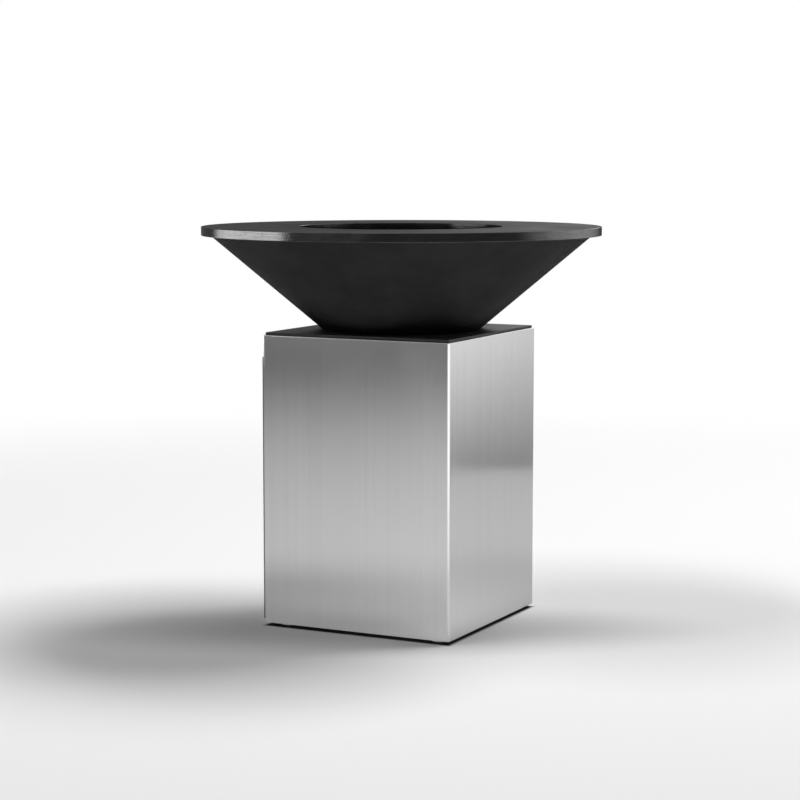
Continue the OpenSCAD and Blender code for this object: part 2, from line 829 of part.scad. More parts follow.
// Headed pins, held in the lower knuckles
module hinge_pins() {
    color(ZINC) for (level = hinge_levels) {
        translate([hinge_x, hinge_y, level - knuckle_len]) {
            translate([0, 0, -pin_head_h]) cylinder(r = pin_head_r, h = pin_head_h);
            cylinder(r = hinge_pin_r, h = 2 * knuckle_len);
        }
    }
}

// Housing of the magnetic catch, with an ear behind the door frame
module catch_housing() {
    ear_x = -inner_half + frame_t;
    ear_y0 = -opening_half - catch_ear_w;
    y1 = catch_y0 + catch_w;
    z0 = catch_z - catch_h / 2;
    z1 = catch_z + catch_h / 2;
    color(PLASTIC) difference() {
        union() {
            box([catch_x0, catch_y0, z0], [catch_x0 + catch_depth, y1, z1]);
            box([ear_x, ear_y0, z0], [ear_x + catch_ear_t, y1, z1]);
        }
        box([catch_x0 - CUT, catch_y0 + catch_wall, z0 + catch_wall],
            [catch_x0 + catch_depth - catch_wall, y1 - catch_wall, z1 - catch_wall]);
        for (side = SIDES) {
            translate([ear_x - CUT, catch_y0 - catch_edge_gap - catch_ear_w / 2,
                       catch_z + side * catch_screw_offset]) rotate([0, 90, 0])
                cylinder(r = screw_r + running_gap, h = catch_ear_t + 2 * CUT);
        }
    }
}

// Magnet in the catch's pocket
module catch_magnet() {
    half_h = catch_h / 2 - catch_wall;
    color(BARE_STEEL)
        box([catch_x0, catch_y0 + catch_wall, catch_z - half_h],
            [catch_x0 + catch_depth - catch_wall, catch_y0 + catch_w - catch_wall, catch_z + half_h]);
}

// Screws through the catch's ear into the frame
module catch_screws() {
    head_x = -inner_half + frame_t + catch_ear_t;
    color(ZINC) for (side = SIDES) {
        translate([head_x, catch_y0 - catch_edge_gap - catch_ear_w / 2, catch_z + side * catch_screw_offset])
            rotate([0, 90, 0]) {
                cylinder(r = screw_head_r, h = screw_head_h);
                translate([0, 0, -frame_t - catch_ear_t]) cylinder(r = screw_r, h = frame_t + catch_ear_t);
            }
    }
}

// Steel strike plate inside the door, which the magnet holds
module strike_plate() {
    color(BARE_STEEL) box([-half_w, catch_y0, catch_z - catch_h / 2],
                          [-half_w + strike_t, catch_y0 + catch_w, catch_z + catch_h / 2]);
}

casing();
corner_posts();
door_frame();
floor_sheet();
foot_brackets();
foot_lock_nuts();
levelling_foot(-1, -1);  // foot_front_left
levelling_foot(1, -1);  // foot_front_right
levelling_foot(-1, 1);  // foot_rear_left
levelling_foot(1, 1);  // foot_rear_right
deck_plate();
deck_studs();
deck_nuts();
bowl_shell();
bowl_floor();
rim_ring();
bowl_bolts();
bowl_nuts();
fire_grate();
cooking_plate();
locating_pegs();
damper_disc();
damper_knob();
damper_pivot();
pivot_washer();
pivot_nut();
ash_chute();
drawer_rails();
ash_drawer();
drawer_handle();
door_panel();
door_ribs();
door_handle();
handle_screws();
hinge_frame_halves();
hinge_door_halves();
hinge_pins();
catch_housing();
catch_magnet();
catch_screws();
strike_plate();
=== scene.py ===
"""Looks of a wood-fired plancha grill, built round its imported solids.

Metres, +Z up, with the origin on the floor under the middle of the pedestal. The wide bare
face of the pedestal looks along -Y, the narrow one along +X, and the door is in the -X face.
"""

import json
import logging
import math
from dataclasses import dataclass
from enum import Enum
from typing import Any, Callable, Iterable, Sequence

import bmesh
import bpy
from mathutils import Matrix, Vector

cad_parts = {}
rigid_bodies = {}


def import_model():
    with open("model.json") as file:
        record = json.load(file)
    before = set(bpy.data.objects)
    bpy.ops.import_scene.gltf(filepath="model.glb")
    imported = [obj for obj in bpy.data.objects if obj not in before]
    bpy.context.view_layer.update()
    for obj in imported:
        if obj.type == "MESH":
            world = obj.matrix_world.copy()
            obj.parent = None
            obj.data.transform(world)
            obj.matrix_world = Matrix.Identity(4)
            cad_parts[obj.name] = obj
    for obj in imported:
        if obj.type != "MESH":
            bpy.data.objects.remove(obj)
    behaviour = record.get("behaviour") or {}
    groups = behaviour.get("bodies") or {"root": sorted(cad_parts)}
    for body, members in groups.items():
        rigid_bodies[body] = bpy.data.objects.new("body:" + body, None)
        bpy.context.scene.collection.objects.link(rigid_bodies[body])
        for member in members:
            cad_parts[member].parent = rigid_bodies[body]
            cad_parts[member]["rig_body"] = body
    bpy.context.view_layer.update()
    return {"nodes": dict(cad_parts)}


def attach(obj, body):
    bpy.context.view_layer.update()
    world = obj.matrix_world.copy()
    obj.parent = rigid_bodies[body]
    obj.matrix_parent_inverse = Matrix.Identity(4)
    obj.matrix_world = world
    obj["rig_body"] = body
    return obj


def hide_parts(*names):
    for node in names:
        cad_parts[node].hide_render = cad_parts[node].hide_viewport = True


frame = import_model()

LOG = logging.getLogger("plancha")
MM = 0.001
WELD_GAP = 0.001 * MM
BEVEL_GAP = 0.004 * MM
HEXAGON_CHAMFER = 0.09
SQUARE = 0.99
FULL_TURN = 2.0 * math.pi
SIDES = (-1, 1)
QUARTERS = (0, 90, 180, 270)
DIAGONALS = (45, 135, 225, 315)
ALONG_X, ALONG_Y, UP = Vector((1.0, 0.0, 0.0)), Vector((0.0, 1.0, 0.0)), Vector((0.0, 0.0, 1.0))
WHITE = (1.0, 1.0, 1.0, 1.0)

Point = Sequence[float]


class Extent:
    """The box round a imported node."""

    def __init__(self, node: str) -> None:
        """Measures the node's mesh.

        Args:
            node: The node's name.
        """
        axes = list(zip(*(vertex.co for vertex in frame["nodes"][node].data.vertices)))
        self.low = Vector([min(values) for values in axes])
        self.high = Vector([max(values) for values in axes])


@dataclass(frozen=True)
class Thread:
    """A metric thread."""

    radius: float
    pitch: float

    @property
    def flats(self) -> float:
        """Width across the flats of its hexagons."""
        return 3.4 * self.radius


M8 = Thread(4 * MM, 1.25 * MM)
M10 = Thread(5 * MM, 1.5 * MM)
M12 = Thread(6 * MM, 1.75 * MM)


def around(radius: float, *turns: float) -> list[Vector]:
    """Places on a level circle about the upright axis, at angles in degrees."""
    return [Vector((math.cos(turn), math.sin(turn), 0.0)) * radius for turn in map(math.radians, turns)]


FOOT_CENTRE = Extent("foot_lock_nuts").high.y - M10.flats / 2.0
STUD_PLACES = around(Extent("deck_studs").high.x - M8.radius, *QUARTERS)
BOLT_PLACES = around(146.673 * MM, *DIAGONALS)


def grey(value: float, warmth: float = 0.0) -> tuple[float, float, float, float]:
    """A colour of one lightness, warmed or cooled by a small share."""
    return (value * (1.0 + warmth), value, value * (1.0 - warmth), 1.0)


def put(name: str, data: Any) -> bpy.types.Object:
    """Puts a new object in the scene.

    Args:
        name: Its name.
        data: Its mesh, lamp or camera.

    Returns:
        The object.
    """
    made = bpy.data.objects.new(name, data)
    bpy.context.scene.collection.objects.link(made)
    return made


def operator(kind: str) -> Callable[["Wire", Any], "Wire"]:
    """A method that adds a Math node for a Python operator."""
    return lambda wire, other: wire.math(kind, other)


class Wire:
    """A shader socket that takes part in Python sums."""

    def __init__(self, graph: "Graph", socket: bpy.types.NodeSocket) -> None:
        """Holds a socket of a graph."""
        self.graph = graph
        self.socket = socket

    __add__ = __radd__ = operator("ADD")
    __mul__ = __rmul__ = operator("MULTIPLY")
    __sub__ = operator("SUBTRACT")
    __truediv__ = operator("DIVIDE")

    def __rsub__(self, other: Any) -> "Wire":
        """Difference, reflected."""
        return self.math("MULTIPLY_ADD", -1.0, other)

    def math(self, kind: str, *others: Any) -> "Wire":
        """A Math node on this value and the others."""
        return self.graph.add("ShaderNodeMath", dict(enumerate((self, *others))), operation=kind)

    def rise(self, low: float, high: float) -> "Wire":
        """0 below one value, 1 above the other, and smooth between them."""
        return self.graph.add("ShaderNodeMapRange", {0: self, 1: low, 2: high, 3: 0.0, 4: 1.0},
                              interpolation_type="SMOOTHSTEP")


class Graph:
    """The node graph of a material or of the world."""

    def __init__(self, tree: bpy.types.NodeTree) -> None:
        """Empties the tree and takes it over."""
        tree.nodes.clear()
        self.tree = tree

    def add(self, kind: str, inputs: dict[Any, Any] | None = None, output: Any = 0, **settings: Any) -> Wire:
        """Adds a node.

        Args:
            kind: The node's type.
            inputs: Values, or wires to link, by the socket's name or number.
            output: Name or number of the output that is wanted.
            settings: The node's properties.

        Returns:
            The output.
        """
        node = self.tree.nodes.new(kind)
        for name, value in settings.items():
            setattr(node, name, value)
        for key, value in (inputs or {}).items():
            if isinstance(value, Wire):
                self.tree.links.new(value.socket, node.inputs[key])
            else:
                node.inputs[key].default_value = value
        return Wire(self, node.outputs[output])

    def end(self, kind: str, wire: Wire) -> None:
        """Leads a shader into the graph's output node."""
        self.tree.links.new(wire.socket, self.tree.nodes.new(kind).inputs[0])

    def place(self, scale: Point = (1.0, 1.0, 1.0), turn: Point = (0.0, 0.0, 0.0)) -> Wire:
        """Object coordinates, turned and stretched."""
        at = self.add("ShaderNodeTexCoord", output="Object")
        return self.add("ShaderNodeMapping", {"Vector": at, "Rotation": turn, "Scale": scale})

    def ray(self, name: str) -> Wire:
        """What is known of the ray that meets the surface."""
        return self.add("ShaderNodeLightPath", output=name)

    def noise(self, at: Wire, scale: float, detail: float, roughness: float = 0.6) -> Wire:
        """Cloudy noise from 0 to 1, with so many waves to a metre."""
        inputs = {"Vector": at, "Scale": scale, "Detail": detail, "Roughness": roughness}
        return self.add("ShaderNodeTexNoise", inputs)

    def cells(self, at: Wire, scale: float) -> Wire:
        """Distance from the middle of the nearest cell, with so many cells to a metre."""
        return self.add("ShaderNodeTexVoronoi", {"Vector": at, "Scale": scale})

    def axes(self, at: Wire) -> tuple[Wire, Wire, Wire]:
        """The three parts of a vector."""
        x, y, z = self.add("ShaderNodeSeparateXYZ", {0: at}).socket.node.outputs
        return Wire(self, x), Wire(self, y), Wire(self, z)

    def join(self, x: Any, y: Any, z: Any) -> Wire:
        """A vector made of three values."""
        return self.add("ShaderNodeCombineXYZ", {0: x, 1: y, 2: z})

    def blend(self, share: Any, first: Any, second: Any) -> Wire:
        """A colour between two colours."""
        return self.add("ShaderNodeMix", {0: share, 6: first, 7: second}, 2, data_type="RGBA")

    def ramp(self, share: Wire, tones: Sequence[tuple[float, float]]) -> Wire:
        """A grey that follows several tones.

        Args:
            share: Place in the ramp, from 0 to 1.
            tones: The tones, each after its place.

        Returns:
            The grey.
        """
        made = self.add("ShaderNodeValToRGB", {0: share})
        stops = made.socket.node.color_ramp.elements
        for index, (at, tone) in enumerate(tones):
            stop = stops[index] if index < 2 else stops.new(at)
            stop.position = at
            stop.color = grey(tone)
        return made

    def mix(self, share: Wire, first: Wire, second: Wire) -> Wire:
        """A shader between two shaders."""
        return self.add("ShaderNodeMixShader", {0: share, 1: first, 2: second})

    def glow(self, kind: str, colour: Any, strength: float) -> Wire:
        """A shader of a glowing kind."""
        return self.add(kind, {"Color": colour, "Strength": strength})

    def bump(self, height: Wire, depth: float, strength: float, **others: Any) -> Wire:
        """A normal bumped by a height from 0 to 1 that is so deep; other inputs are named by socket."""
        inputs = {"Height": height, "Distance": depth, "Strength": strength, **others}
        return self.add("ShaderNodeBump", inputs)

    def surface(self, colour: Any, roughness: Any, **others: Any) -> None:
        """Ends the material in one principled surface.

        Args:
            colour: Base colour, constant or varying.
            roughness: Roughness, constant or varying.
            others: Other inputs, by their sockets' names with _ for a space.
        """
        inputs = {name.replace("_", " "): value for name, value in others.items()}
        inputs.update({"Base Color": colour, "Roughness": roughness})
        self.end("ShaderNodeOutputMaterial", self.add("ShaderNodeBsdfPrincipled", inputs))


def blank_material(name: str) -> tuple[bpy.types.Material, Graph]:
    """A new material.

    Args:
        name: Its name.

    Returns:
        The material and its empty graph.
    """
    material = bpy.data.materials.new(name)
    material.use_nodes = True
    return material, Graph(material.node_tree)


@dataclass(frozen=True)
class Finish:
    """A surface finish, made into a material on first use.

    Waves, cells and ripples are counted to a metre, and depths are those of bumps.
    """

    name: str

    def dress(self, graph: Graph) -> None:
        """Draws the finish.

        Args:
            graph: The material's empty graph.
        """
        raise NotImplementedError

    def material(self) -> bpy.types.Material:
        """Makes the material when it is first asked for.

        Returns:
            The finish's material.
        """
        made = bpy.data.materials.get(self.name)
        if made is None:
            made, graph = blank_material(self.name)
            self.dress(graph)
        return made


class Grain(Enum):
    """The axis along which a sheet was brushed, as a stretch of the pattern."""

    UPRIGHT = (1.0, 1.0, 0.006)
    ALONG_X = (0.006, 1.0, 1.0)
    ALONG_Y = (1.0, 0.006, 1.0)


@dataclass(frozen=True)
class BrushedStainless(Finish):
    """Stainless sheet with a fine brushed grain, wiped clean."""

    grain: Grain = Grain.UPRIGHT
    shade: float = 0.63
    gloss: float = 0.2
    spread: float = 1.0
    streaks: float = 0.045
    fine_waves: float = 2400.0
    broad_waves: float = 90.0
    wiping_waves: float = 4.0
    grain_depth: float = 0.01 * MM

    def dress(self, graph: Graph) -> None:
        """Fine and broad streaks along the grain, and faint wiping marks.

        Args:
            graph: The material's empty graph.
        """
        along = graph.place(self.grain.value)
        fine = graph.noise(along, self.fine_waves, 2.0)
        broad = graph.noise(along, self.broad_waves, 3.0, 0.55)
        wiped = graph.noise(graph.place(turn=(0.3, 0.2, 0.5)), self.wiping_waves, 4.0)
        tone = (fine * 0.45 + broad * 0.35 + wiped * 0.2).rise(0.25, 0.75)
        low, high = self.shade * (1.0 - self.streaks), self.shade * (1.0 + self.streaks)
        colour = graph.blend(tone, grey(low), grey(high))
        roughness = self.gloss - 0.03 + fine * 0.02 + broad * 0.01 + wiped.rise(0.35, 0.75) * 0.03
        normal = graph.bump(fine, self.grain_depth, 0.25)
        graph.surface(colour, roughness, Normal=normal, Metallic=1.0, Anisotropic=self.spread)


@dataclass(frozen=True)
class HeatproofBlack(Finish):
    """Heat-proof black coating on steel plate, matt with a faint texture."""

    shade: float = 0.027
    gloss: float = 0.7
    shine: float = 0.04
    cloud_waves: float = 7.0
    spray_waves: float = 700.0
    fleck_cells: float = 160.0
    dust_waves: float = 24.0
    spray_depth: float = 0.12 * MM

    def dress(self, graph: Graph) -> None:
        """Clouded lightness, settled dust on level faces and a sprayed texture.

        Args:
            graph: The material's empty graph.
        """
        place = graph.place()
        cloud = graph.noise(place, self.cloud_waves, 4.0)
        spray = graph.noise(place, self.spray_waves, 2.0)
        fleck = graph.cells(place, self.fleck_cells).rise(0.09, 0.03)
        up = graph.axes(graph.add("ShaderNodeNewGeometry", output="Normal"))[2].rise(0.7, 1.0)
        dust = up * graph.noise(place, self.dust_waves, 5.0, 0.65).rise(0.45, 0.9) * 0.25
        coat = graph.blend(cloud.rise(0.3, 0.7), grey(self.shade * 0.82), grey(self.shade * 1.2))
        colour = graph.blend(dust + fleck * 0.02, coat, grey(0.1, 0.02))
        roughness = self.gloss - 0.06 + cloud * 0.12 + dust * 0.3 + spray * 0.05
        normal = graph.bump(spray, self.spray_depth, 0.35)
        graph.surface(colour, roughness, Normal=normal, Specular_IOR_Level=self.shine)


@dataclass(frozen=True)
class SeasonedPlate(Finish):
    """Top and underside of the thick cooking plate, ground and oiled."""

    shade: float = 0.07
    gloss: float = 0.5
    turned_waves: float = 1600.0
    ring_waves: float = 210.0
    film_waves: float = 5.0
    blot_waves: float = 60.0
    turned_depth: float = 0.04 * MM
    ring_depth: float = 0.12 * MM
    heated_within: float = 260 * MM
    cool_from: float = 360 * MM

    def dress(self, graph: Graph) -> None:
        """Turned scratches round the ring, patches of oil film and a darker heated inner band.

        Args:
            graph: The material's empty graph.
        """
        place = graph.place()
        x, y, z = graph.axes(place)
        reach = (x * x + y * y).math("SQRT")
        angle = y.math("ARCTAN2", x)
        turned = graph.noise(graph.join(reach * self.turned_waves, angle * 5.0, z * 60.0), 1.0, 3.0)
        rings = graph.noise(graph.join(reach * self.ring_waves, angle * 1.6, z * 20.0), 1.0, 3.0)
        film = graph.noise(place, self.film_waves, 5.0, 0.55)
        blot = graph.noise(place, self.blot_waves, 3.0, 0.5)
        heated = reach.rise(self.cool_from, self.heated_within)
        tone = (film * 0.5 + rings * 0.24 + turned * 0.16 + blot * 0.1).rise(0.36, 0.64)
        metal = graph.blend(tone, grey(self.shade * 0.8, 0.01), grey(self.shade * 1.2))
        colour = graph.blend(heated * 0.5, metal, grey(self.shade * 0.4, 0.03))
        roughness = self.gloss - 0.09 + film.rise(0.3, 0.7) * 0.12 + rings * 0.08 + turned * 0.04
        normal = graph.bump(turned, self.turned_depth, 0.5, Normal=graph.bump(rings, self.ring_depth, 0.4))
        graph.surface(colour, roughness, Normal=normal, Metallic=1.0, Specular_Tint=grey(0.5))


@dataclass(frozen=True)
class PlateEdge(Finish):
    """Turned edge of thick plate: smooth, with fine lines along it, pits and a little scale."""

    shade: float = 0.095
    gloss: float = 0.12
    line_waves: float = 380.0
    patch_waves: float = 50.0
    pit_waves: float = 330.0
    line_depth: float = 0.08 * MM
    pit_depth: float = 0.2 * MM

    def dress(self, graph: Graph) -> None:
        """Lines that run round the edge, fine pits, and scale that dulls it in patches.

        Args:
            graph: The material's empty graph.
        """
        place = graph.place()
        x, y, z = graph.axes(place)
        angle = y.math("ARCTAN2", x)
        line = graph.noise(graph.join(angle * 9.0, z * self.line_waves, 0.0), 1.0, 3.0)
        patch = graph.noise(graph.join(angle * 20.0, z * self.patch_waves, 3.0), 1.0, 4.0)
        pit = graph.noise(place, self.pit_waves, 2.0)
        scale = patch.rise(0.5, 0.75)
        metal = graph.blend(line.rise(0.3, 0.7), grey(self.shade * 0.78), grey(self.shade * 1.22))
        colour = graph.blend(scale * 0.6, metal, grey(self.shade * 0.6, 0.02))
        roughness = self.gloss + scale * 0.05 + pit.rise(0.5, 0.7) * 0.05
        normal = graph.bump(line, self.line_depth, 1.0, Normal=graph.bump(pit, self.pit_depth, 1.0))
        graph.surface(colour, roughness, Normal=normal, Metallic=1.0)


@dataclass(frozen=True)
class CastIron(Finish):
    """Sand-cast iron, dark and grainy."""

    shade: float = 0.045
    sand_waves: float = 520.0
    skin_waves: float = 18.0
    sand_depth: float = 0.6 * MM

    def dress(self, graph: Graph) -> None:
        """Sandy pits and a greyer skin in places.

        Args:
            graph: The material's empty graph.
        """
        place = graph.place()
        sand = graph.noise(place, self.sand_waves, 4.0, 0.7)
        skin = graph.noise(place, self.skin_waves, 4.0)
        colour = graph.blend(skin.rise(0.35, 0.7), grey(self.shade * 0.7), grey(self.shade * 1.5, 0.03))
        roughness = 0.62 + skin * 0.2 + sand * 0.08
        graph.surface(colour, roughness, Normal=graph.bump(sand, self.sand_depth, 0.6), Metallic=0.35)


@dataclass(frozen=True)
class ZincPlate(Finish):
    """Bright zinc plating on fasteners and feet."""

    shade: float = 0.56
    crystal_cells: float = 900.0
    dull_waves: float = 120.0
    crystal_depth: float = 0.04 * MM

    def dress(self, graph: Graph) -> None:
        """A faint crystal pattern with duller patches.

        Args:
            graph: The material's empty graph.
        """
        place = graph.place()
        crystal = graph.cells(place, self.crystal_cells)
        dull = graph.noise(place, self.dull_waves, 3.0)
        bright = grey(self.shade * 1.08, -0.01)
        colour = graph.blend(dull.rise(0.3, 0.7), bright, grey(self.shade * 0.8, 0.03))
        roughness = 0.24 + dull * 0.2 + crystal * 0.08
        graph.surface(colour, roughness, Normal=graph.bump(crystal, self.crystal_depth, 0.4), Metallic=1.0)


@dataclass(frozen=True)
class MillSteel(Finish):
    """Steel section as it comes from the mill, lightly oiled."""

    shade: float = 0.4
    streak_waves: float = 240.0
    scale_waves: float = 22.0
    pit_waves: float = 800.0
    pit_depth: float = 0.08 * MM

    def dress(self, graph: Graph) -> None:
        """Rolled streaks, scale in patches and a little pitting.

        Args:
            graph: The material's empty graph.
        """
        place = graph.place()
        streak = graph.noise(graph.place((1.0, 1.0, 0.05)), self.streak_waves, 3.0)
        scale = graph.noise(place, self.scale_waves, 5.0, 0.65).rise(0.45, 0.62)
        pit = graph.noise(place, self.pit_waves, 2.0)
        metal = graph.blend(streak.rise(0.3, 0.7), grey(self.shade * 0.85), grey(self.shade * 1.12))
        colour = graph.blend(scale * 0.55, metal, grey(self.shade * 0.42, 0.04))
        roughness = 0.34 + scale * 0.16 + pit * 0.1
        graph.surface(colour, roughness, Normal=graph.bump(pit, self.pit_depth, 0.4), Metallic=0.9)


@dataclass(frozen=True)
class WeldMetal(Finish):
    """A weld bead left as laid, or coated with its plate."""

    shade: float = 0.03
    metal: float = 0.0
    ripples: float = 420.0
    skin_waves: float = 500.0
    ripple_depth: float = 0.4 * MM
    skin_depth: float = 0.1 * MM

    def dress(self, graph: Graph) -> None:
        """Ripples round the upright axis and up the bead, with a grainy skin.

        Args:
            graph: The material's empty graph.
        """
        x, y, z = graph.axes(graph.place())
        run = y.math("ARCTAN2", x) * (0.2 * self.ripples) + z * self.ripples
        wave = (run * FULL_TURN * 0.5).math("SINE") * 0.5 + 0.5
        skin = graph.noise(graph.place(), self.skin_waves, 3.0)
        colour = graph.blend(skin.rise(0.3, 0.7), grey(self.shade * 0.8), grey(self.shade * 1.3))
        normal = graph.bump(wave, self.ripple_depth, 0.6, Normal=graph.bump(skin, self.skin_depth, 0.4))
        graph.surface(colour, 0.5 + skin * 0.15, Normal=normal, Metallic=self.metal)


@dataclass(frozen=True)
class MouldedPlastic(Finish):
    """Black moulded plastic with a fine spark-eroded texture."""

    shade: float = 0.03
    fine_waves: float = 1800.0
    broad_waves: float = 40.0
    fine_depth: float = 0.08 * MM

    def dress(self, graph: Graph) -> None:
        """A fine even texture and slight variation in gloss.

        Args:
            graph: The material's empty graph.
        """
        place = graph.place()
        fine = graph.noise(place, self.fine_waves, 2.0)
        broad = graph.noise(place, self.broad_waves, 2.0, 0.5)
        colour = graph.blend(broad, grey(self.shade * 0.85), grey(self.shade * 1.2))
        roughness = 0.42 + broad * 0.1 + fine * 0.05
        graph.surface(colour, roughness, Normal=graph.bump(fine, self.fine_depth, 0.5))


STAINLESS_UPRIGHT = BrushedStainless("stainless_upright_grain")
STAINLESS_LEVEL_X = BrushedStainless("stainless_grain_along_x", Grain.ALONG_X, gloss=0.24, spread=0.3)
STAINLESS_LEVEL_Y = BrushedStainless("stainless_grain_along_y", Grain.ALONG_Y, gloss=0.24, spread=0.3)
# The rods' stainless is painted darker than the sheet's: painted shade standing in for the dark reflections
# and contact shadow that set a handle off from the door.
STAINLESS_ROD_PAINTED_DARKER = BrushedStainless("stainless_polished_rod_painted_darker", Grain.UPRIGHT, 0.5, 0.16, 0.2)
STAINLESS_INSIDE = BrushedStainless("stainless_mill_inside", shade=0.52, gloss=0.3, spread=0.15)
STAINLESS_CUT = BrushedStainless("stainless_laser_cut_edge", Grain.ALONG_X, 0.16, 0.42, 0.0, 0.15)
BLACK_BOWL = HeatproofBlack("heatproof_black_bowl")
# A lighter, glossier copy of the bowl's black for the faces inside the bowl: painted light against the shade
# there.
BLACK_INSIDE_PAINTED_LIGHTER = HeatproofBlack("heatproof_black_inside_painted_lighter", shade=0.05, gloss=0.62, shine=0.25)
BLACK_DECK = HeatproofBlack("heatproof_black_deck", shade=0.04, gloss=0.45, shine=0.3)
PLATE_FACE = SeasonedPlate("seasoned_plate_face")
PLATE_EDGE = PlateEdge("cut_plate_edge")
GRATE_IRON = CastIron("sand_cast_iron")
ZINC = ZincPlate("bright_zinc_plate")
MILL_STEEL = MillSteel("mill_finish_steel")
WELD_COATED = WeldMetal("weld_under_black_coat")
WELD_BRIGHT = WeldMetal("weld_on_stainless", shade=0.4, metal=1.0)
WELD_GREY = WeldMetal("weld_on_mill_steel", shade=0.25, metal=0.9)
PLASTIC = MouldedPlastic("moulded_black_plastic")


class Blank:
    """A mesh being worked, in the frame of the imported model."""

    def __init__(self) -> None:
        """Starts with nothing."""
        self.bm = bmesh.new()

    @classmethod
    def of_node(cls, node: str) -> "Blank":
        """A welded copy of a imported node, with its flat faces made whole again.

        Args:
            node: The node's name.

        Returns:
            The copy.
        """
        blank = cls()
        blank.bm.from_mesh(frame["nodes"][node].data)
        bmesh.ops.remove_doubles(blank.bm, verts=blank.bm.verts, dist=WELD_GAP)
        bmesh.ops.dissolve_limit(blank.bm, angle_limit=math.radians(0.5), use_dissolve_boundaries=False,
                                 verts=blank.bm.verts, edges=blank.bm.edges, delimit=set())
        return blank

    def block(self, low: Vector, high: Vector) -> None:
        """Adds a box.

        Args:
            low: Its lowest corner.
            high: Its highest corner.
        """
        verts = bmesh.ops.create_cube(self.bm, size=1.0)["verts"]
        bmesh.ops.scale(self.bm, vec=high - low, verts=verts)
        bmesh.ops.translate(self.bm, vec=(low + high) / 2.0, verts=verts)

    def lathe(self, profile: Sequence[tuple[float, float]], steps: int,
              centre: Point = (0.0, 0.0)) -> list[bmesh.types.BMVert]:
        """Turns a closed outline of radii and heights about an upright axis.

        Args:
            profile: The outline's corners, each a radius and a height.
            steps: Number of facets round the turn.
            centre: Where the axis stands.

        Returns:
            The vertices of the turned shape.
        """
        axis = Vector((centre[0], centre[1], 0.0))
        corners = [self.bm.verts.new(axis + Vector((radius, 0.0, height))) for radius, height in profile]
        edges = [self.bm.edges.new(pair) for pair in zip(corners, corners[1:] + corners[:1])]
        before = set(self.bm.verts) - set(corners)
        bmesh.ops.spin(self.bm, geom=corners + edges, cent=axis, axis=UP, angle=FULL_TURN, steps=steps,
                       use_merge=True)
        made = [vert for vert in self.bm.verts if vert not in before]
        bmesh.ops.remove_doubles(self.bm, verts=made, dist=WELD_GAP)
        made = [vert for vert in self.bm.verts if vert not in before]
        faces = list({face for vert in made for face in vert.link_faces})
        bmesh.ops.recalc_face_normals(self.bm, faces=faces)
        return made

    def hexagon(self, centre: Point, thread: Thread, low: float, high: float) -> None:
        """Adds a hexagon head or nut whose corners are chamfered.

        Args:
            centre: Where its axis stands.
            thread: The thread that it fits.
            low: Height of its lower face.
            high: Height of its upper face.
        """
        radius = thread.flats / 2.0 / math.cos(math.pi / 6.0)
        made = bmesh.ops.create_cone(self.bm, cap_ends=True, segments=6, radius1=radius, radius2=radius,
                                     depth=high - low)["verts"]
        bmesh.ops.translate(self.bm, vec=(centre[0], centre[1], (low + high) / 2.0), verts=made)
        edges = list({edge for vert in made for edge in vert.link_edges})
        self.bevel(made + edges, HEXAGON_CHAMFER * thread.flats, 2, affect="VERTICES")

    def threaded_rod(self, centre: Point, thread: Thread, low: float, high: float) -> None:
        """Adds an upright rod whose thread is cut as fine grooves with chamfered ends.

        Args:
            centre: Where its axis stands.
            thread: Its thread.
            low: Height of its lower end.
            high: Height of its upper end.
        """
        turns = max(1, round((high - low) / thread.pitch))
        step = (high - low) / turns
        root = thread.radius - 0.55 * thread.pitch
        outline = [(0.0, low), (root, low)]
        for index in range(turns):
            crest = thread.radius if index > 0 else root + 0.3 * thread.pitch
            outline.append((crest, low + (index + 0.5) * step))
            outline.append((root, low + (index + 1) * step))
        outline.append((0.0, high))
        self.lathe(outline, 20, centre)

    def bead(self, start: Point, end: Point, radius: float, pitch: float = 3 * MM) -> None:
        """Adds a straight weld bead whose ripples lie close together.

        Args:
            start: Middle of its first end.
            end: Middle of its last end.
            radius: Half its width.
            pitch: Length of a ripple.
        """
        start, run = Vector(start), Vector(end) - Vector(start)
        ripples = max(2, round(run.length / pitch))
        step = run.length / ripples
        outline = [(0.0, 0.0)]
        for index in range(ripples):
            outline.append((0.82 * radius, (index + 0.08) * step))
            outline.append((radius, (index + 0.6) * step))
        outline += [(0.7 * radius, run.length), (0.0, run.length + 0.2 * radius)]
        aimed = run.to_track_quat("Z", "Y").to_matrix().to_4x4()
        bmesh.ops.transform(self.bm, matrix=Matrix.Translation(start) @ aimed, verts=self.lathe(outline, 8))

    def cut_out(self, wall: Callable[[bmesh.types.BMFace], bool], cuts: Iterable[tuple[Point, Point]],
                inside: Callable[[Vector], bool]) -> None:
        """Cuts an opening out of a wall.

        Args:
            wall: Says whether a face is in the wall.
            cuts: A point and a normal of each plane that bounds the opening.
            inside: Says whether the middle of a face is in the opening.
        """
        for point, normal in cuts:
            self.bm.normal_update()
            faces = [face for face in self.bm.faces if wall(face)]
            edges = list({edge for face in faces for edge in face.edges})
            verts = list({vert for face in faces for vert in face.verts})
            bmesh.ops.bisect_plane(self.bm, geom=verts + edges + faces, dist=WELD_GAP, plane_co=point,
                                   plane_no=normal)
        self.bm.normal_update()
        gone = [face for face in self.bm.faces if wall(face) and inside(face.calc_center_median())]
        bmesh.ops.delete(self.bm, geom=gone, context="FACES")

    def bevel(self, geom: list[Any], width: float, segments: int, clamp: bool = True,
              affect: str = "EDGES") -> None:
        """Rounds edges or corners."""
        bmesh.ops.bevel(self.bm, geom=geom, offset=width, offset_type="OFFSET", segments=segments,
                        profile=0.5, affect=affect, clamp_overlap=clamp, material=-1)

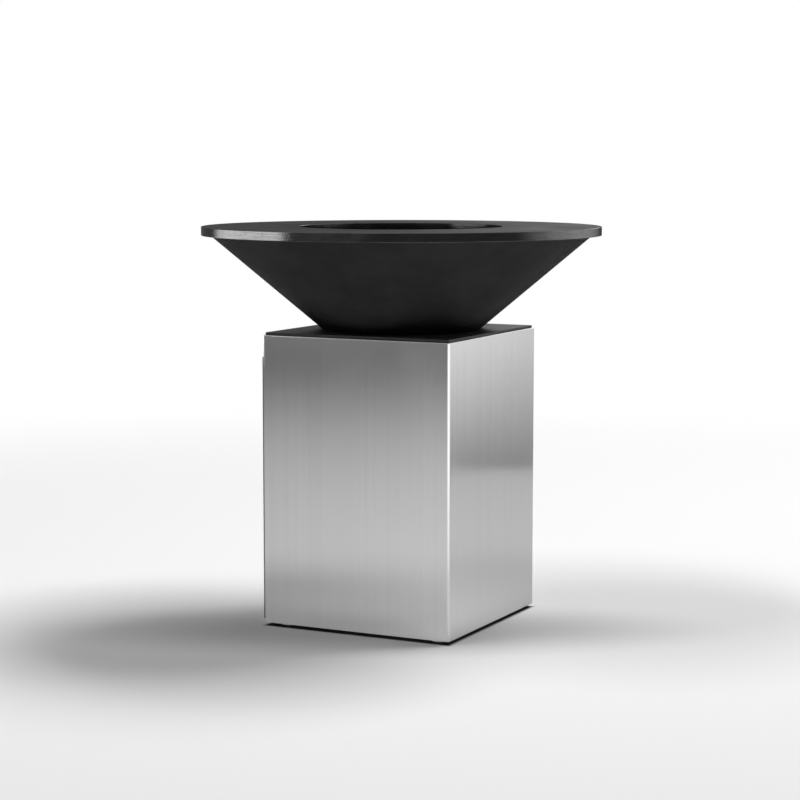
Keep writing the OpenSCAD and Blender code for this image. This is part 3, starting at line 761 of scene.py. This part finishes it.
    def ease(self, width: float, segments: int = 2, angle: float = 35.0, clamp: bool = True) -> "Blank":
        """Rounds the sharp edges.

        Args:
            width: Width of the rounding.
            segments: Number of facets in it.
            angle: Turn in degrees over which an edge is sharp.
            clamp: Whether short edges hold the width back.

        Returns:
            This blank.
        """
        self.bm.normal_update()
        sharp = [edge for edge in self.bm.edges
                 if len(edge.link_faces) == 2 and edge.calc_face_angle(0.0) > math.radians(angle)]
        self.bevel(sharp, width, segments, clamp)
        if not clamp:
            bmesh.ops.remove_doubles(self.bm, verts=self.bm.verts, dist=BEVEL_GAP)
        return self

    def piece(self, name: str, finishes: Sequence[Finish], stands_for: Sequence[str] = (), beside: str = "",
              paint: Callable[[bmesh.types.BMFace], int] | None = None) -> None:
        """Makes the finished object.

        Args:
            name: The object's name.
            finishes: Its finishes, in the order of the numbers that paint gives.
            stands_for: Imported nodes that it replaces.
            beside: For an added detail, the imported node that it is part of.
            paint: Gives the number of each face's finish.
        """
        self.bm.normal_update()
        for face in self.bm.faces:
            face.smooth = True
            face.material_index = paint(face) if paint else 0
        mesh = bpy.data.meshes.new(name)
        self.bm.to_mesh(mesh)
        self.bm.free()
        mesh.set_sharp_from_angle(angle=math.radians(50.0))
        for finish in finishes:
            mesh.materials.append(finish.material())
        made = put(name, mesh)
        flat = made.modifiers.new("flat_faces_stay_flat", "WEIGHTED_NORMAL")
        flat.keep_sharp = True
        node = stands_for[0] if stands_for else beside
        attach(made, frame["nodes"][node]["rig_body"])
        if stands_for:
            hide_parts(*stands_for)


@dataclass
class Refit:
    """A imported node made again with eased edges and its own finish."""

    node: str
    finish: Finish
    width: float = 0.4 * MM
    segments: int = 2
    cut: Finish | None = None
    clamp: bool = True

    def build(self) -> None:
        """Eases the copy and finishes it, with the cut edges of an upright sheet in a finish of their own."""
        blank = Blank.of_node(self.node).ease(self.width, self.segments, clamp=self.clamp)
        finishes = [self.finish, self.cut] if self.cut else [self.finish]
        blank.piece(self.node + "_eased", finishes, [self.node],
                    paint=lambda face: int(self.cut is not None and abs(face.normal.x) < 0.5))


@dataclass
class Casing:
    """Folded stainless casing of the pedestal."""

    box: Extent = Extent("casing")
    sheet: float = 2 * MM
    corner_bend: float = 7 * MM
    corner_steps: int = 12
    flange: float = 30 * MM
    flange_bend: float = 2.6 * MM
    flange_steps: int = 5
    fold: float = 60.0
    cut_edge: float = 0.25 * MM
    door_half: float = 205 * MM
    door_low: float = 36 * MM
    door_high: float = 639 * MM

    def build(self) -> None:
        """Folds the shell, opens its ends and its doorway, and gives it the sheet's thickness."""
        blank = Blank()
        blank.block(self.box.low, self.box.high)
        upright = [edge for edge in blank.bm.edges
                   if abs(edge.verts[0].co.z - edge.verts[1].co.z) > self.flange]
        blank.bevel(upright, self.corner_bend, self.corner_steps)
        edge = self.box.high.x - self.sheet - self.flange
        sides = [(axis * side * edge, axis) for axis in (ALONG_X, ALONG_Y) for side in SIDES]
        blank.cut_out(lambda face: abs(face.normal.z) > SQUARE, sides,
                      lambda spot: spot.xy.length < edge / 2.0)
        centre = (self.door_low + self.door_high) / 2.0
        sides = [(ALONG_Y * side * self.door_half, ALONG_Y) for side in SIDES]
        sides += [(UP * level, UP) for level in (self.door_low, self.door_high)]
        blank.cut_out(lambda face: face.normal.x < -SQUARE, sides,
                      lambda spot: max(abs(spot.y), abs(spot.z - centre)) < self.door_half / 2.0)
        blank.ease(self.flange_bend, self.flange_steps, self.fold)
        bmesh.ops.solidify(blank.bm, geom=blank.bm.faces[:], thickness=self.sheet)
        blank.ease(self.cut_edge, 1, self.fold)
        middle = (self.box.low + self.box.high) / 2.0
        blank.piece("folded_casing", [STAINLESS_UPRIGHT, STAINLESS_INSIDE], ["casing"],
                    paint=lambda face: int((face.calc_center_median() - middle).dot(face.normal) < 0.0))


@dataclass
class Bowl:
    """Conical fire bowl with its floor, rim ring, welds and bolts."""

    shell: Extent = Extent("bowl_shell")
    foot: float = shell.low.z
    rim: float = shell.high.z
    foot_radius: float = 193 * MM
    wall: float = 3 * MM
    ring_low: float = Extent("rim_ring").low.z
    ring_hole: float = Extent("locating_pegs").high.x + 3 * MM
    floor_top: float = Extent("bowl_floor").high.z
    facets: int = 288
    eased: float = 0.5 * MM
    leg: float = 3 * MM
    sunk: float = 0.3 * MM
    lap: float = 0.2 * MM
    seam_radius: float = 2.6 * MM

    def inner(self, level: float) -> float:
        """Inside radius of the wall at a level."""
        slope = (self.shell.high.x - self.foot_radius) / (self.rim - self.foot)
        return self.foot_radius + slope * (level - self.foot) - self.wall * math.hypot(1.0, slope)

    def build(self) -> None:
        """Builds the bowl's pieces."""
        self.build_wall()
        self.build_rings()
        self.build_welds()
        self.build_bolts()

    def build_wall(self) -> None:
        """Turns the wall and eases its rim."""
        blank = Blank()
        blank.lathe([(self.inner(self.foot), self.foot), (self.foot_radius, self.foot),
                     (self.shell.high.x, self.rim), (self.inner(self.rim), self.rim)], self.facets)
        blank.ease(self.eased)
        # Faces turned inward take the lighter copy of the black, painted light against the shade inside the
        # bowl.
        blank.piece("bowl_cone", [BLACK_BOWL, BLACK_INSIDE_PAINTED_LIGHTER], ["bowl_shell"],
                    paint=lambda face: int(face.normal.xy.dot(face.calc_center_median().xy) < 0.0))

    def build_rings(self) -> None:
        """Turns the ring in the rim, and eases the floor with its bolt holes."""
        blank = Blank()
        blank.lathe([(self.ring_hole, self.ring_low), (self.inner(self.ring_low), self.ring_low),
                     (self.inner(self.rim), self.rim), (self.ring_hole, self.rim)], self.facets)
        blank.ease(self.eased)
        # The rim ring and the floor take the lighter copy of the black too, painted light against the shade
        # inside the bowl.
        blank.piece("bowl_rim_ring", [BLACK_INSIDE_PAINTED_LIGHTER], ["rim_ring"])
        Refit("bowl_floor", BLACK_INSIDE_PAINTED_LIGHTER, self.eased).build()

    def build_welds(self) -> None:
        """Lays the beads between the wall, the floor and the rim ring, and up the rolled wall's joint."""
        beads = Blank()
        leg, top, low = self.leg, self.floor_top, self.ring_low
        beside = self.inner(top)
        beads.lathe([(beside + self.sunk, top - self.lap), (beside + leg, top + leg),
                     (beside + 0.2 * leg, top + 0.75 * leg), (beside - 0.55 * leg, top + 0.3 * leg),
                     (beside - leg, top - self.lap)], self.facets)
        under = self.inner(low)
        beads.lathe([(under, low + self.lap), (under - leg, low + self.lap),
                     (under - 1.2 * leg, low - 0.5 * leg), (under - 1.35 * leg, low - leg),
                     (self.inner(low - leg) + self.sunk, low - leg)], self.facets)
        beads.piece("bowl_weld_beads", [WELD_COATED], beside="bowl_shell")
        seam = Blank()
        start, end = top + leg, low - leg
        seam.bead((0.0, self.inner(start), start), (0.0, self.inner(end), end), self.seam_radius)
        seam.piece("bowl_wall_seam", [WELD_COATED], beside="bowl_shell")

    def build_bolts(self) -> None:
        """Makes the four bolts that hold the bowl down on the deck."""
        bolts = Blank()
        box = Extent("bowl_bolts")
        for centre in BOLT_PLACES:
            bolts.hexagon(centre, M10, self.floor_top, box.high.z)
            bolts.threaded_rod(centre, M10, box.low.z, self.floor_top + self.lap)
        bolts.piece("bowl_hex_bolts", [ZINC], ["bowl_bolts"])


@dataclass
class CookingPlate:
    """Thick cooking ring with its locating pegs."""

    ring: Extent = Extent("cooking_plate")
    low: float = ring.low.z
    hole: float = 249 * MM
    facets: int = 384
    chamfer: float = 1 * MM
    pegs: Extent = Extent("locating_pegs")
    peg_radius: float = 8 * MM
    peg_chamfer: float = 2 * MM
    peg_facets: int = 40
    eased: float = 0.5 * MM
    weld_sunk: float = 0.3 * MM
    weld_leg: float = 2 * MM
    weld_width: float = 1.9 * MM
    weld_swell: tuple[float, float] = (0.9 * MM, 1.3 * MM)

    def build(self) -> None:
        """Turns the ring, and the pegs with the beads that hold them."""
        outer, high = self.ring.high.x, self.ring.high.z
        blank = Blank()
        blank.lathe([(self.hole, self.low), (outer, self.low), (outer, high), (self.hole, high)], self.facets)
        blank.ease(self.chamfer, 3)
        blank.piece("cooking_ring", [PLATE_FACE, PLATE_EDGE], ["cooking_plate"],
                    paint=lambda face: int(abs(face.normal.z) < 0.9))
        pegs = Blank()
        beads = Blank()
        edge, end = self.peg_radius, self.pegs.low.z
        sunk = edge - self.weld_sunk
        swell, deep = self.weld_swell
        for centre in around(self.pegs.high.x - edge, *QUARTERS):
            pegs.lathe([(0.0, end), (edge - self.peg_chamfer, end), (edge, end + self.peg_chamfer),
                        (edge, self.low), (0.0, self.low)], self.peg_facets, centre)
            beads.lathe([(sunk, self.low - self.weld_leg), (edge + swell, self.low - deep),
                         (edge + self.weld_width, self.low), (sunk, self.low)], self.peg_facets, centre)
        pegs.ease(self.eased)
        pegs.piece("turned_pegs", [BLACK_BOWL], ["locating_pegs"])
        beads.piece("peg_welds", [WELD_COATED], beside="locating_pegs")


@dataclass
class LevellingFoot:
    """One foot: a turned pad, a hexagon neck and a threaded stud."""

    node: str
    centre: Point
    pad: float = 20 * MM
    pad_thick: float = 4 * MM
    under_chamfer: tuple[float, float] = (1.2 * MM, 1.0 * MM)
    side_top: float = 2.4 * MM
    shoulder: tuple[float, float] = (1.4 * MM, 3.4 * MM)
    crown: float = 14 * MM
    neck_top: float = 10 * MM
    facets: int = 48

    def build(self) -> None:
        """Turns the pad and stud, and shapes the neck."""
        blank = Blank()
        under, side = self.under_chamfer
        drawn_in, bend = self.shoulder
        blank.lathe([(0.0, 0.0), (self.pad - under, 0.0), (self.pad, side), (self.pad, self.side_top),
                     (self.pad - drawn_in, bend), (self.crown, self.pad_thick), (0.0, self.pad_thick)],
                    self.facets, self.centre)
        blank.hexagon(self.centre, M10, self.pad_thick, self.neck_top)
        blank.threaded_rod(self.centre, M10, self.neck_top, Extent(self.node).high.z)
        blank.piece(self.node + "_turned", [ZINC], [self.node])


@dataclass
class Damper:
    """Shoulder bolt that the damper swings on, and the knob on its lever."""

    facets: int = 40
    knob_facets: int = 48
    knob_radius: float = 9 * MM
    lever_reach: float = 193 * MM
    lever_turn: float = 157.5
    shoulder: float = 2.5 * MM
    head_bevel: tuple[float, float] = (1.4 * MM, 0.6 * MM)
    knob_under: tuple[float, float] = (1.8 * MM, 1.7 * MM)
    knob_side_top: float = 8.1 * MM
    knob_bends: tuple[tuple[float, float], ...] = ((0.8 * MM, 9.5 * MM), (2.4 * MM, 10.9 * MM))
    knob_neck: tuple[float, float] = (2.8 * MM, 5.5 * MM)
    knob_end: float = 2.25 * MM

    def build(self) -> None:
        """Turns the bolt with its thread, and the knob."""
        box = Extent("damper_pivot")
        base, radius, top = Extent("deck_plate").high.z, box.high.x, box.high.z
        bolt = Blank()
        across, down = self.head_bevel
        bolt.lathe([(0.0, base), (radius, base), (radius, top - self.shoulder),
                    (radius - across, top - down), (radius / 2.0, top), (0.0, top)], self.facets)
        bolt.threaded_rod((0.0, 0.0), M12, box.low.z, base)
        bolt.piece("damper_shoulder_bolt", [ZINC], ["damper_pivot"])
        box = Extent("damper_knob")
        base, radius, top = box.low.z, self.knob_radius, box.high.z
        across, up = self.knob_under
        outline = [(0.0, base), (radius - across, base), (radius, base + up)]
        outline.append((radius, base + self.knob_side_top))
        outline += [(radius - across, base + up) for across, up in self.knob_bends]
        across, down = self.knob_neck
        outline += [(radius - across, top - down), (radius - self.knob_end, top), (0.0, top)]
        knob = Blank()
        knob.lathe(outline, self.knob_facets, around(self.lever_reach, self.lever_turn)[0])
        knob.piece("damper_turned_knob", [STAINLESS_ROD_PAINTED_DARKER], ["damper_knob"])


@dataclass(frozen=True)
class Fasteners:
    """Hexagon nuts, or threaded studs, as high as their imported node."""

    name: str
    node: str
    thread: Thread
    places: Sequence[Point]
    studs: bool = False

    def build(self) -> None:
        """Makes one at each place."""
        box = Extent(self.node)
        blank = Blank()
        shape = blank.threaded_rod if self.studs else blank.hexagon
        for place in self.places:
            shape(place, self.thread, box.low.z, box.high.z)
        blank.piece(self.name, [ZINC], [self.node])


@dataclass
class Welds:
    """Short stitch welds that hold the frames, brackets, rails, chute, hinges and ribs."""

    wall: float = Extent("corner_posts").high.x
    post_toe: float = 226 * MM
    stitch: float = 24 * MM
    levels: tuple[float, ...] = tuple(level * MM for level in range(60, 661, 150))
    bracket_lip: float = 217.6 * MM
    bracket_run: tuple[float, float] = (192 * MM, 214 * MM)
    bracket_under: float = 9.9 * MM
    deck_under: float = Extent("deck_plate").low.z - 0.4 * MM
    rail_starts: tuple[float, ...] = tuple(start * MM for start in range(-130, 111, 80))
    rail_side: float = 203 * MM
    chute_radius: float = 120.2 * MM
    hinges: Extent = Extent("hinge_frame_halves")
    knuckle: float = 30 * MM
    rib_middle: float = 102.5 * MM
    rib_side: float = 15.2 * MM
    rib_levels: tuple[float, ...] = tuple(level * MM for level in range(90, 541, 150))
    post_bead: float = 2 * MM
    bracket_bead: float = 1.6 * MM
    deck_bead: float = 1.8 * MM
    rib_bead: float = 1.4 * MM
    sunk: float = 0.4 * MM
    proud: float = 0.2 * MM
    frame_back: float = 3.4 * MM
    chute_run: float = 9 * MM
    casing_face: float = Extent("casing").low.x
    door: Extent = Extent("door_panel")
    fixed_run: tuple[float, float] = (234.5 * MM, 241.5 * MM)
    swung_run: tuple[float, float] = (196 * MM, 222 * MM)
    fixed_bead: tuple[float, float] = (1.1 * MM, 1.8 * MM)
    swung_bead: tuple[float, float] = (1.2 * MM, 2 * MM)

    def upright(self, blank: Blank, x: float, y: float, radius: float, levels: Sequence[float]) -> None:
        """Lays upright stitches at one place."""
        for level in levels:
            blank.bead((x, y, level - self.stitch / 2.0), (x, y, level + self.stitch / 2.0), radius)

    def build(self) -> None:
        """Lays all the stitches."""
        self.weld_posts()
        self.weld_deck()
        self.weld_hinges()
        self.weld_ribs()

    def weld_posts(self) -> None:
        """Joins the posts, the door frame and the foot brackets to the casing."""
        blank = Blank()
        near = self.wall - self.sunk
        behind_frame = self.frame_back - self.wall
        lip, low = self.bracket_lip, self.bracket_under
        first, last = self.bracket_run
        for x_side in SIDES:
            for y_side in SIDES:
                self.upright(blank, x_side * self.post_toe, y_side * near, self.post_bead, self.levels)
                across = near if x_side > 0 else behind_frame
                self.upright(blank, across, y_side * self.post_toe, self.post_bead, self.levels)
                for start, end in (((lip, first), (lip, last)), ((first, lip), (last, lip))):
                    blank.bead((x_side * start[0], y_side * start[1], low),
                               (x_side * end[0], y_side * end[1], low), self.bracket_bead)
        blank.piece("frame_stitch_welds", [WELD_GREY], beside="corner_posts")

    def weld_deck(self) -> None:
        """Joins the rails and the chute to the underside of the deck."""
        blank = Blank()
        under = self.deck_under
        for side in SIDES:
            y = side * self.rail_side
            for x in self.rail_starts:
                blank.bead((x, y, under), (x + self.stitch, y, under), self.deck_bead)
        for out in around(1.0, *DIAGONALS):
            along = Vector((-out.y, out.x, 0.0)) * self.chute_run
            place = out * self.chute_radius + UP * under
            blank.bead(place - along, place + along, self.deck_bead)
        blank.piece("deck_stitch_welds", [WELD_BRIGHT], beside="drawer_rails")

    def weld_hinges(self) -> None:
        """Joins the hinge halves to the casing and to the door."""
        fixed = Blank()
        swung = Blank()
        gap = self.proud
        casing, door = self.casing_face - gap, self.door.low.x - gap
        start, end = self.fixed_run
        first, last = self.swung_run
        for foot in (self.hinges.low.z, self.hinges.high.z - self.knuckle):
            head = foot + self.knuckle
            for level in (foot - gap, head + gap):
                fixed.bead((casing, start, level), (casing, end, level), *self.fixed_bead)
            for level in (head - gap, head + self.knuckle + gap):
                swung.bead((door, first, level), (door, last, level), *self.swung_bead)
        fixed.piece("hinge_welds_fixed", [WELD_BRIGHT], beside="hinge_frame_halves")
        swung.piece("hinge_welds_on_door", [WELD_BRIGHT], beside="hinge_door_halves")

    def weld_ribs(self) -> None:
        """Joins the ribs to the inside of the door."""
        blank = Blank()
        inside = self.door.high.x + self.proud
        for rib in SIDES:
            for side in SIDES:
                across = rib * self.rib_middle + side * self.rib_side
                self.upright(blank, inside, across, self.rib_bead, self.rib_levels)
        blank.piece("rib_stitch_welds", [WELD_BRIGHT], beside="door_ribs")


@dataclass(frozen=True)
class Lamp:
    """A far soft lamp that lights what is not a mirror."""

    name: str
    heading: float
    rise: float
    width: float
    height: float
    power: float
    distance: float = 9.0


@dataclass(frozen=True)
class Card:
    """A curved card that only mirrors see, with its lightness up its height and along its sweep."""

    name: str
    radius: float
    low: float
    high: float
    start: float
    sweep: float
    upward: tuple[tuple[float, float], ...]
    along: tuple[tuple[float, float], ...] = ((0.0, 1.0), (1.0, 1.0))


LAMPS = (
    Lamp("key_lamp", 121.0, 62.0, 4.6, 3.0, 775.0),
    Lamp("fill_lamp", -85.0, 62.0, 4.6, 1.6, 360.0),
)
CARDS = (
    Card("far_wall", 7.0, 0.0, 5.0, 0.0, 360.0, ((0.0, 0.13), (0.25, 0.15), (0.5, 0.3), (0.95, 0.6))),
    Card("side_wall", 6.8, 0.0, 1.6, -72.0, 52.0, ((0.0, 0.14), (0.15, 0.23), (1.0, 0.34))),
    Card("back_wall", 6.6, 0.0, 6.0, 155.0, 70.0, ((0.0, 0.45), (1.0, 0.55)),
         ((0.25, 0.08), (0.33, 0.4), (0.4, 1.0), (0.5, 1.0), (0.6, 0.25))),
    Card("left_card", 3.2, 0.6, 1.25, -122.0, 57.0, ((0.0, 4.5), (1.0, 4.7)),
         ((0.0, 0.5), (0.25, 0.88), (0.6, 1.0))),
    Card("bend_card", 3.1, 0.4, 0.6, -140.0, 44.0, ((0.0, 2.4), (1.0, 2.4))),
    Card("right_card", 2.74, 0.0, 2.2, 62.0, 95.0, ((0.0, 0.46), (0.22, 1.38), (0.5, 1.48), (0.6, 1.7)),
         ((0.0, 0.08), (0.17, 0.65), (0.3, 1.0), (0.52, 1.0), (0.66, 0.66), (0.78, 0.3), (0.9, 0.05))),
    Card("top_bend_card", 2.6, 1.2, 2.1, 126.0, 56.0, ((0.0, 0.6), (0.25, 2.3), (1.0, 2.3)),
         ((0.0, 0.1), (0.2, 1.0), (0.8, 1.0), (1.0, 0.2))),
    Card("corner_card", 1.3, 0.0, 0.66, -14.0, 74.0, ((0.0, 1.2), (0.45, 1.7), (1.0, 1.8)),
         ((0.0, 0.6), (0.25, 1.0), (0.8, 1.0), (1.0, 0.6))),
)


@dataclass
class Studio:
    """Camera, pale floor, soft lamps and the cards that bare metal mirrors."""

    swing: float = 26.654
    dip: float = 6.5
    eye: Point = (2.3804, -4.75, 1.1476)
    lens: float = 97.396
    film: float = 36.0
    ambient: float = 0.02
    mirrored_sky: float = 0.9
    shadow_fill: float = 0.38
    floor_half: float = 60.0
    dark_afar: tuple[float, float] = (0.6, 7.9)
    white_afar: tuple[float, float] = (1.5, 4.6)
    # Painted shadow on the floor for the camera: near-black under the casing, and an oval pool of darker
    # floor round it.
    painted_shadow_under_casing: tuple[float, float] = (258 * MM, 244 * MM)
    painted_shadow_pool: tuple[float, float] = (0.8, 0.3)
    painted_shadow_fade: tuple[float, float] = (1.15, 0.2)
    aim: Point = (0.0, 0.0, 0.3)

    def heading(self, degrees: float) -> Vector:
        """A level direction so many degrees to the right of the camera, seen from the grill."""
        turn = math.radians(self.swing + degrees)
        return Vector((math.sin(turn), -math.cos(turn), 0.0))

    def build(self) -> None:
        """Sets up the camera, the world, the floor, the cards and the lamps."""
        bpy.context.scene.view_settings.view_transform = "Standard"
        self.place_camera()
        self.light_world()
        self.lay_floor()
        for card in CARDS:
            self.hang_card(card)
        for lamp in LAMPS:
            self.hang_lamp(lamp)

    def place_camera(self) -> None:
        """Stands the camera where the photographer stood."""
        data = bpy.data.cameras.new("studio_camera")
        data.lens = self.lens
        data.sensor_width = self.film
        camera = put("studio_camera", data)
        camera.location = self.eye
        camera.rotation_euler = (math.radians(90.0 - self.dip), 0.0, math.radians(self.swing))
        bpy.context.scene.camera = camera

    def light_world(self) -> None:
        """White for the camera, softer for mirrors, and a faint even light on everything else."""
        world = bpy.data.worlds.new("studio_world")
        world.use_nodes = True
        bpy.context.scene.world = world
        graph = Graph(world.node_tree)
        seen = graph.ray("Is Camera Ray").math("MAXIMUM", graph.ray("Is Transmission Ray"))
        dim, sky, white = (graph.glow("ShaderNodeBackground", WHITE, strength)
                           for strength in (self.ambient, self.mirrored_sky, 1.0))
        rest = graph.mix(graph.ray("Is Glossy Ray"), dim, sky)
        graph.end("ShaderNodeOutputWorld", graph.mix(seen, rest, white))

    def stage_piece(self, bm: bmesh.types.BMesh, material: bpy.types.Material) -> bpy.types.Object:
        """Puts a piece of the stage in the scene.

        Args:
            bm: Its mesh, which is used up.
            material: Its material, whose name it takes.

        Returns:
            The new object.
        """
        mesh = bpy.data.meshes.new(material.name)
        bm.to_mesh(mesh)
        bm.free()
        mesh.materials.append(material)
        made = put(material.name, mesh)
        return made

    def floor_tones(self, graph: Graph, x: Wire, y: Wire, far: Wire) -> tuple[Wire, Wire]:
        """The floor's colour, with painted shadow that the camera sees round and under the casing, and its
        tone in mirrors.

        Args:
            graph: The floor's graph.
            x: Place along X.
            y: Place along Y.
            far: 0 near the casing and 1 far off.

        Returns:
            The colour with its painted shadow, and the mirrored tone: dark far off and behind, with painted
            shade at each face's foot.
        """
        camera = graph.ray("Is Camera Ray")
        turn = math.radians(self.swing)
        wide, deep = self.painted_shadow_pool
        side = x * math.cos(turn) + y * math.sin(turn) + 0.06
        nearer = x * math.sin(turn) - y * math.cos(turn) - 0.15
        spread = (side * side / wide ** 2 + nearer * nearer / deep ** 2).math("SQRT")
        # Painted shadow: the camera sees the floor darkened towards grey 0.4 in an oval pool round the
        # casing.
        pale = graph.blend(camera * spread.rise(*self.painted_shadow_fade), grey(0.8), grey(0.4))
        # Painted shadow: the camera sees the floor near-black under the casing's footprint.
        under = x.math("ABSOLUTE").math("MAXIMUM", y.math("ABSOLUTE")).rise(*self.painted_shadow_under_casing)
        # Painted shade in the tone that mirrors see of the floor: darker beside the casing and at the foot of
        # each face.
        flank = graph.blend((x * 0.89 - y * 0.45).rise(-0.1, 0.4), grey(0.6), grey(0.9))
        before = graph.blend(x.rise(-0.7, 0.1), flank, grey(1.0))
        foot = y.rise(-0.56, -0.32) * x.rise(0.25, -0.1) + x.rise(0.4, 0.27) * x.rise(0.2, 0.26)
        near = graph.blend(y.rise(-0.1, 0.9), graph.blend(foot, before, grey(0.52)), grey(0.42))
        return graph.blend(camera * under, pale, grey(0.03)), graph.blend(far, near, grey(0.14))

    def lay_floor(self) -> None:
        """Lays a pale floor that takes shadows and carries painted shadow round the casing, fades to white
        far off and can't be seen from below.
        """
        bm = bmesh.new()
        bmesh.ops.create_grid(bm, x_segments=1, y_segments=1, size=self.floor_half)
        material, graph = blank_material("studio_floor")
        x, y, _ = graph.axes(graph.place())
        reach = (x * x + y * y).math("SQRT")
        camera = graph.ray("Is Camera Ray")
        far = reach.rise(*self.dark_afar)
        colour, mirrored = self.floor_tones(graph, x, y, far)
        lit = graph.add("ShaderNodeBsdfDiffuse", {"Color": colour})
        plain = graph.glow("ShaderNodeEmission", mirrored, 1.0)
        white = graph.glow("ShaderNodeEmission", WHITE, 1.0)
        even = self.shadow_fill + far * (1.0 - self.shadow_fill)
        toned = graph.mix(even * graph.ray("Is Glossy Ray"), lit, plain)
        above = graph.mix(reach.rise(*self.white_afar) * camera, toned, white)
        below = graph.add("ShaderNodeNewGeometry", output="Backfacing") * camera
        clear = graph.add("ShaderNodeBsdfTransparent")
        graph.end("ShaderNodeOutputMaterial", graph.mix(below, above, clear))
        self.stage_piece(bm, material)

    def hang_card(self, card: Card) -> None:
        """Hangs one card, curved about the grill, that only mirrors see.

        Args:
            card: Its place and its tones.
        """
        bm = bmesh.new()
        foot = self.heading(card.start) * card.radius
        ends = [bm.verts.new(foot + UP * height) for height in (card.low, card.high)]
        bmesh.ops.spin(bm, geom=[*ends, bm.edges.new(ends)], cent=(0.0, 0.0, 0.0), axis=UP,
                       angle=math.radians(card.sweep), steps=max(12, int(card.sweep / 4.0)),
                       use_merge=card.sweep >= 360.0)
        material, graph = blank_material(card.name)
        middle = math.radians(self.swing + card.start + card.sweep / 2.0 - 90.0)
        x, y, z = graph.axes(graph.place(turn=(0.0, 0.0, -middle)))
        top = max(tone for _, tone in card.upward)
        share = (z - card.low) / (card.high - card.low)
        upward = graph.ramp(share, [(at, tone / top) for at, tone in card.upward])
        along = graph.ramp(y.math("ARCTAN2", x) / math.radians(card.sweep) + 0.5, card.along)
        direct = 1.0 - graph.ray("Diffuse Depth").math("MINIMUM", 1.0)
        graph.end("ShaderNodeOutputMaterial", graph.glow("ShaderNodeEmission", upward * along * direct, top))
        wall = self.stage_piece(bm, material)
        for kind in ("camera", "diffuse", "shadow", "transmission"):
            setattr(wall, "visible_" + kind, False)

    def hang_lamp(self, lamp: Lamp) -> None:
        """Hangs one lamp, aimed at the grill, that mirrors don't see.

        Args:
            lamp: Its place, size and power.
        """
        data = bpy.data.lights.new(lamp.name, "AREA")
        data.shape = "RECTANGLE"
        data.size = lamp.width
        data.size_y = lamp.height
        data.energy = lamp.power
        made = put(lamp.name, data)
        rise = math.radians(lamp.rise)
        offset = self.heading(lamp.heading) * math.cos(rise) + UP * math.sin(rise)
        made.location = Vector(self.aim) + offset * lamp.distance
        made.rotation_euler = (-offset).to_track_quat("-Z", "Y").to_euler()
        made.visible_camera = False
        made.visible_glossy = False


FOOT_PLACES = {
    "foot_front_left": (-FOOT_CENTRE, -FOOT_CENTRE),
    "foot_front_right": (FOOT_CENTRE, -FOOT_CENTRE),
    "foot_rear_left": (-FOOT_CENTRE, FOOT_CENTRE),
    "foot_rear_right": (FOOT_CENTRE, FOOT_CENTRE),
}
FASTENERS = (
    Fasteners("deck_threaded_studs", "deck_studs", M8, STUD_PLACES, studs=True),
    Fasteners("deck_hex_nuts", "deck_nuts", M8, STUD_PLACES),
    Fasteners("foot_hex_nuts", "foot_lock_nuts", M10, [*FOOT_PLACES.values()]),
    Fasteners("bowl_hex_nuts", "bowl_nuts", M10, BOLT_PLACES),
    Fasteners("damper_hex_nut", "pivot_nut", M12, [(0.0, 0.0)]),
)
REFITS = (
    Refit("deck_plate", BLACK_DECK, 0.5 * MM),
    Refit("corner_posts", MILL_STEEL, 0.6 * MM),
    Refit("door_frame", MILL_STEEL, 0.2 * MM, clamp=False),
    Refit("floor_sheet", STAINLESS_LEVEL_X, 0.3 * MM),
    Refit("foot_brackets", MILL_STEEL, 0.6 * MM),
    Refit("fire_grate", GRATE_IRON, 1.4 * MM, 3),
    Refit("damper_disc", MILL_STEEL, 0.2 * MM, clamp=False),
    Refit("pivot_washer", ZINC, 0.3 * MM),
    Refit("ash_chute", MILL_STEEL, 0.3 * MM),
    Refit("drawer_rails", STAINLESS_LEVEL_X),
    Refit("ash_drawer", STAINLESS_LEVEL_Y, 0.35 * MM),
    Refit("drawer_handle", STAINLESS_ROD_PAINTED_DARKER, 0.3 * MM),
    Refit("door_panel", STAINLESS_UPRIGHT, 0.3 * MM, 2, STAINLESS_CUT),
    Refit("door_ribs", STAINLESS_UPRIGHT, 0.3 * MM),
    Refit("door_handle", STAINLESS_ROD_PAINTED_DARKER, 0.3 * MM),
    Refit("handle_screws", ZINC, 0.8 * MM, 3),
    Refit("hinge_frame_halves", STAINLESS_ROD_PAINTED_DARKER, 0.18 * MM),
    Refit("hinge_door_halves", STAINLESS_ROD_PAINTED_DARKER, 0.5 * MM),
    Refit("hinge_pins", ZINC, 0.6 * MM, 3),
    Refit("catch_housing", PLASTIC, 0.5 * MM, 3),
    Refit("catch_magnet", ZINC, 0.4 * MM),
    Refit("catch_screws", ZINC, 0.8 * MM, 3),
    Refit("strike_plate", ZINC, 0.3 * MM),
)


def main() -> None:
    """Builds the grill's looks and the studio round it."""
    logging.basicConfig(level=logging.INFO, format="%(message)s")
    feet = [LevellingFoot(node, place) for node, place in FOOT_PLACES.items()]
    for part in (Casing(), Bowl(), CookingPlate(), Damper(), Welds(), *feet, *FASTENERS, *REFITS, Studio()):
        part.build()


if __name__ == "__main__":
    main()
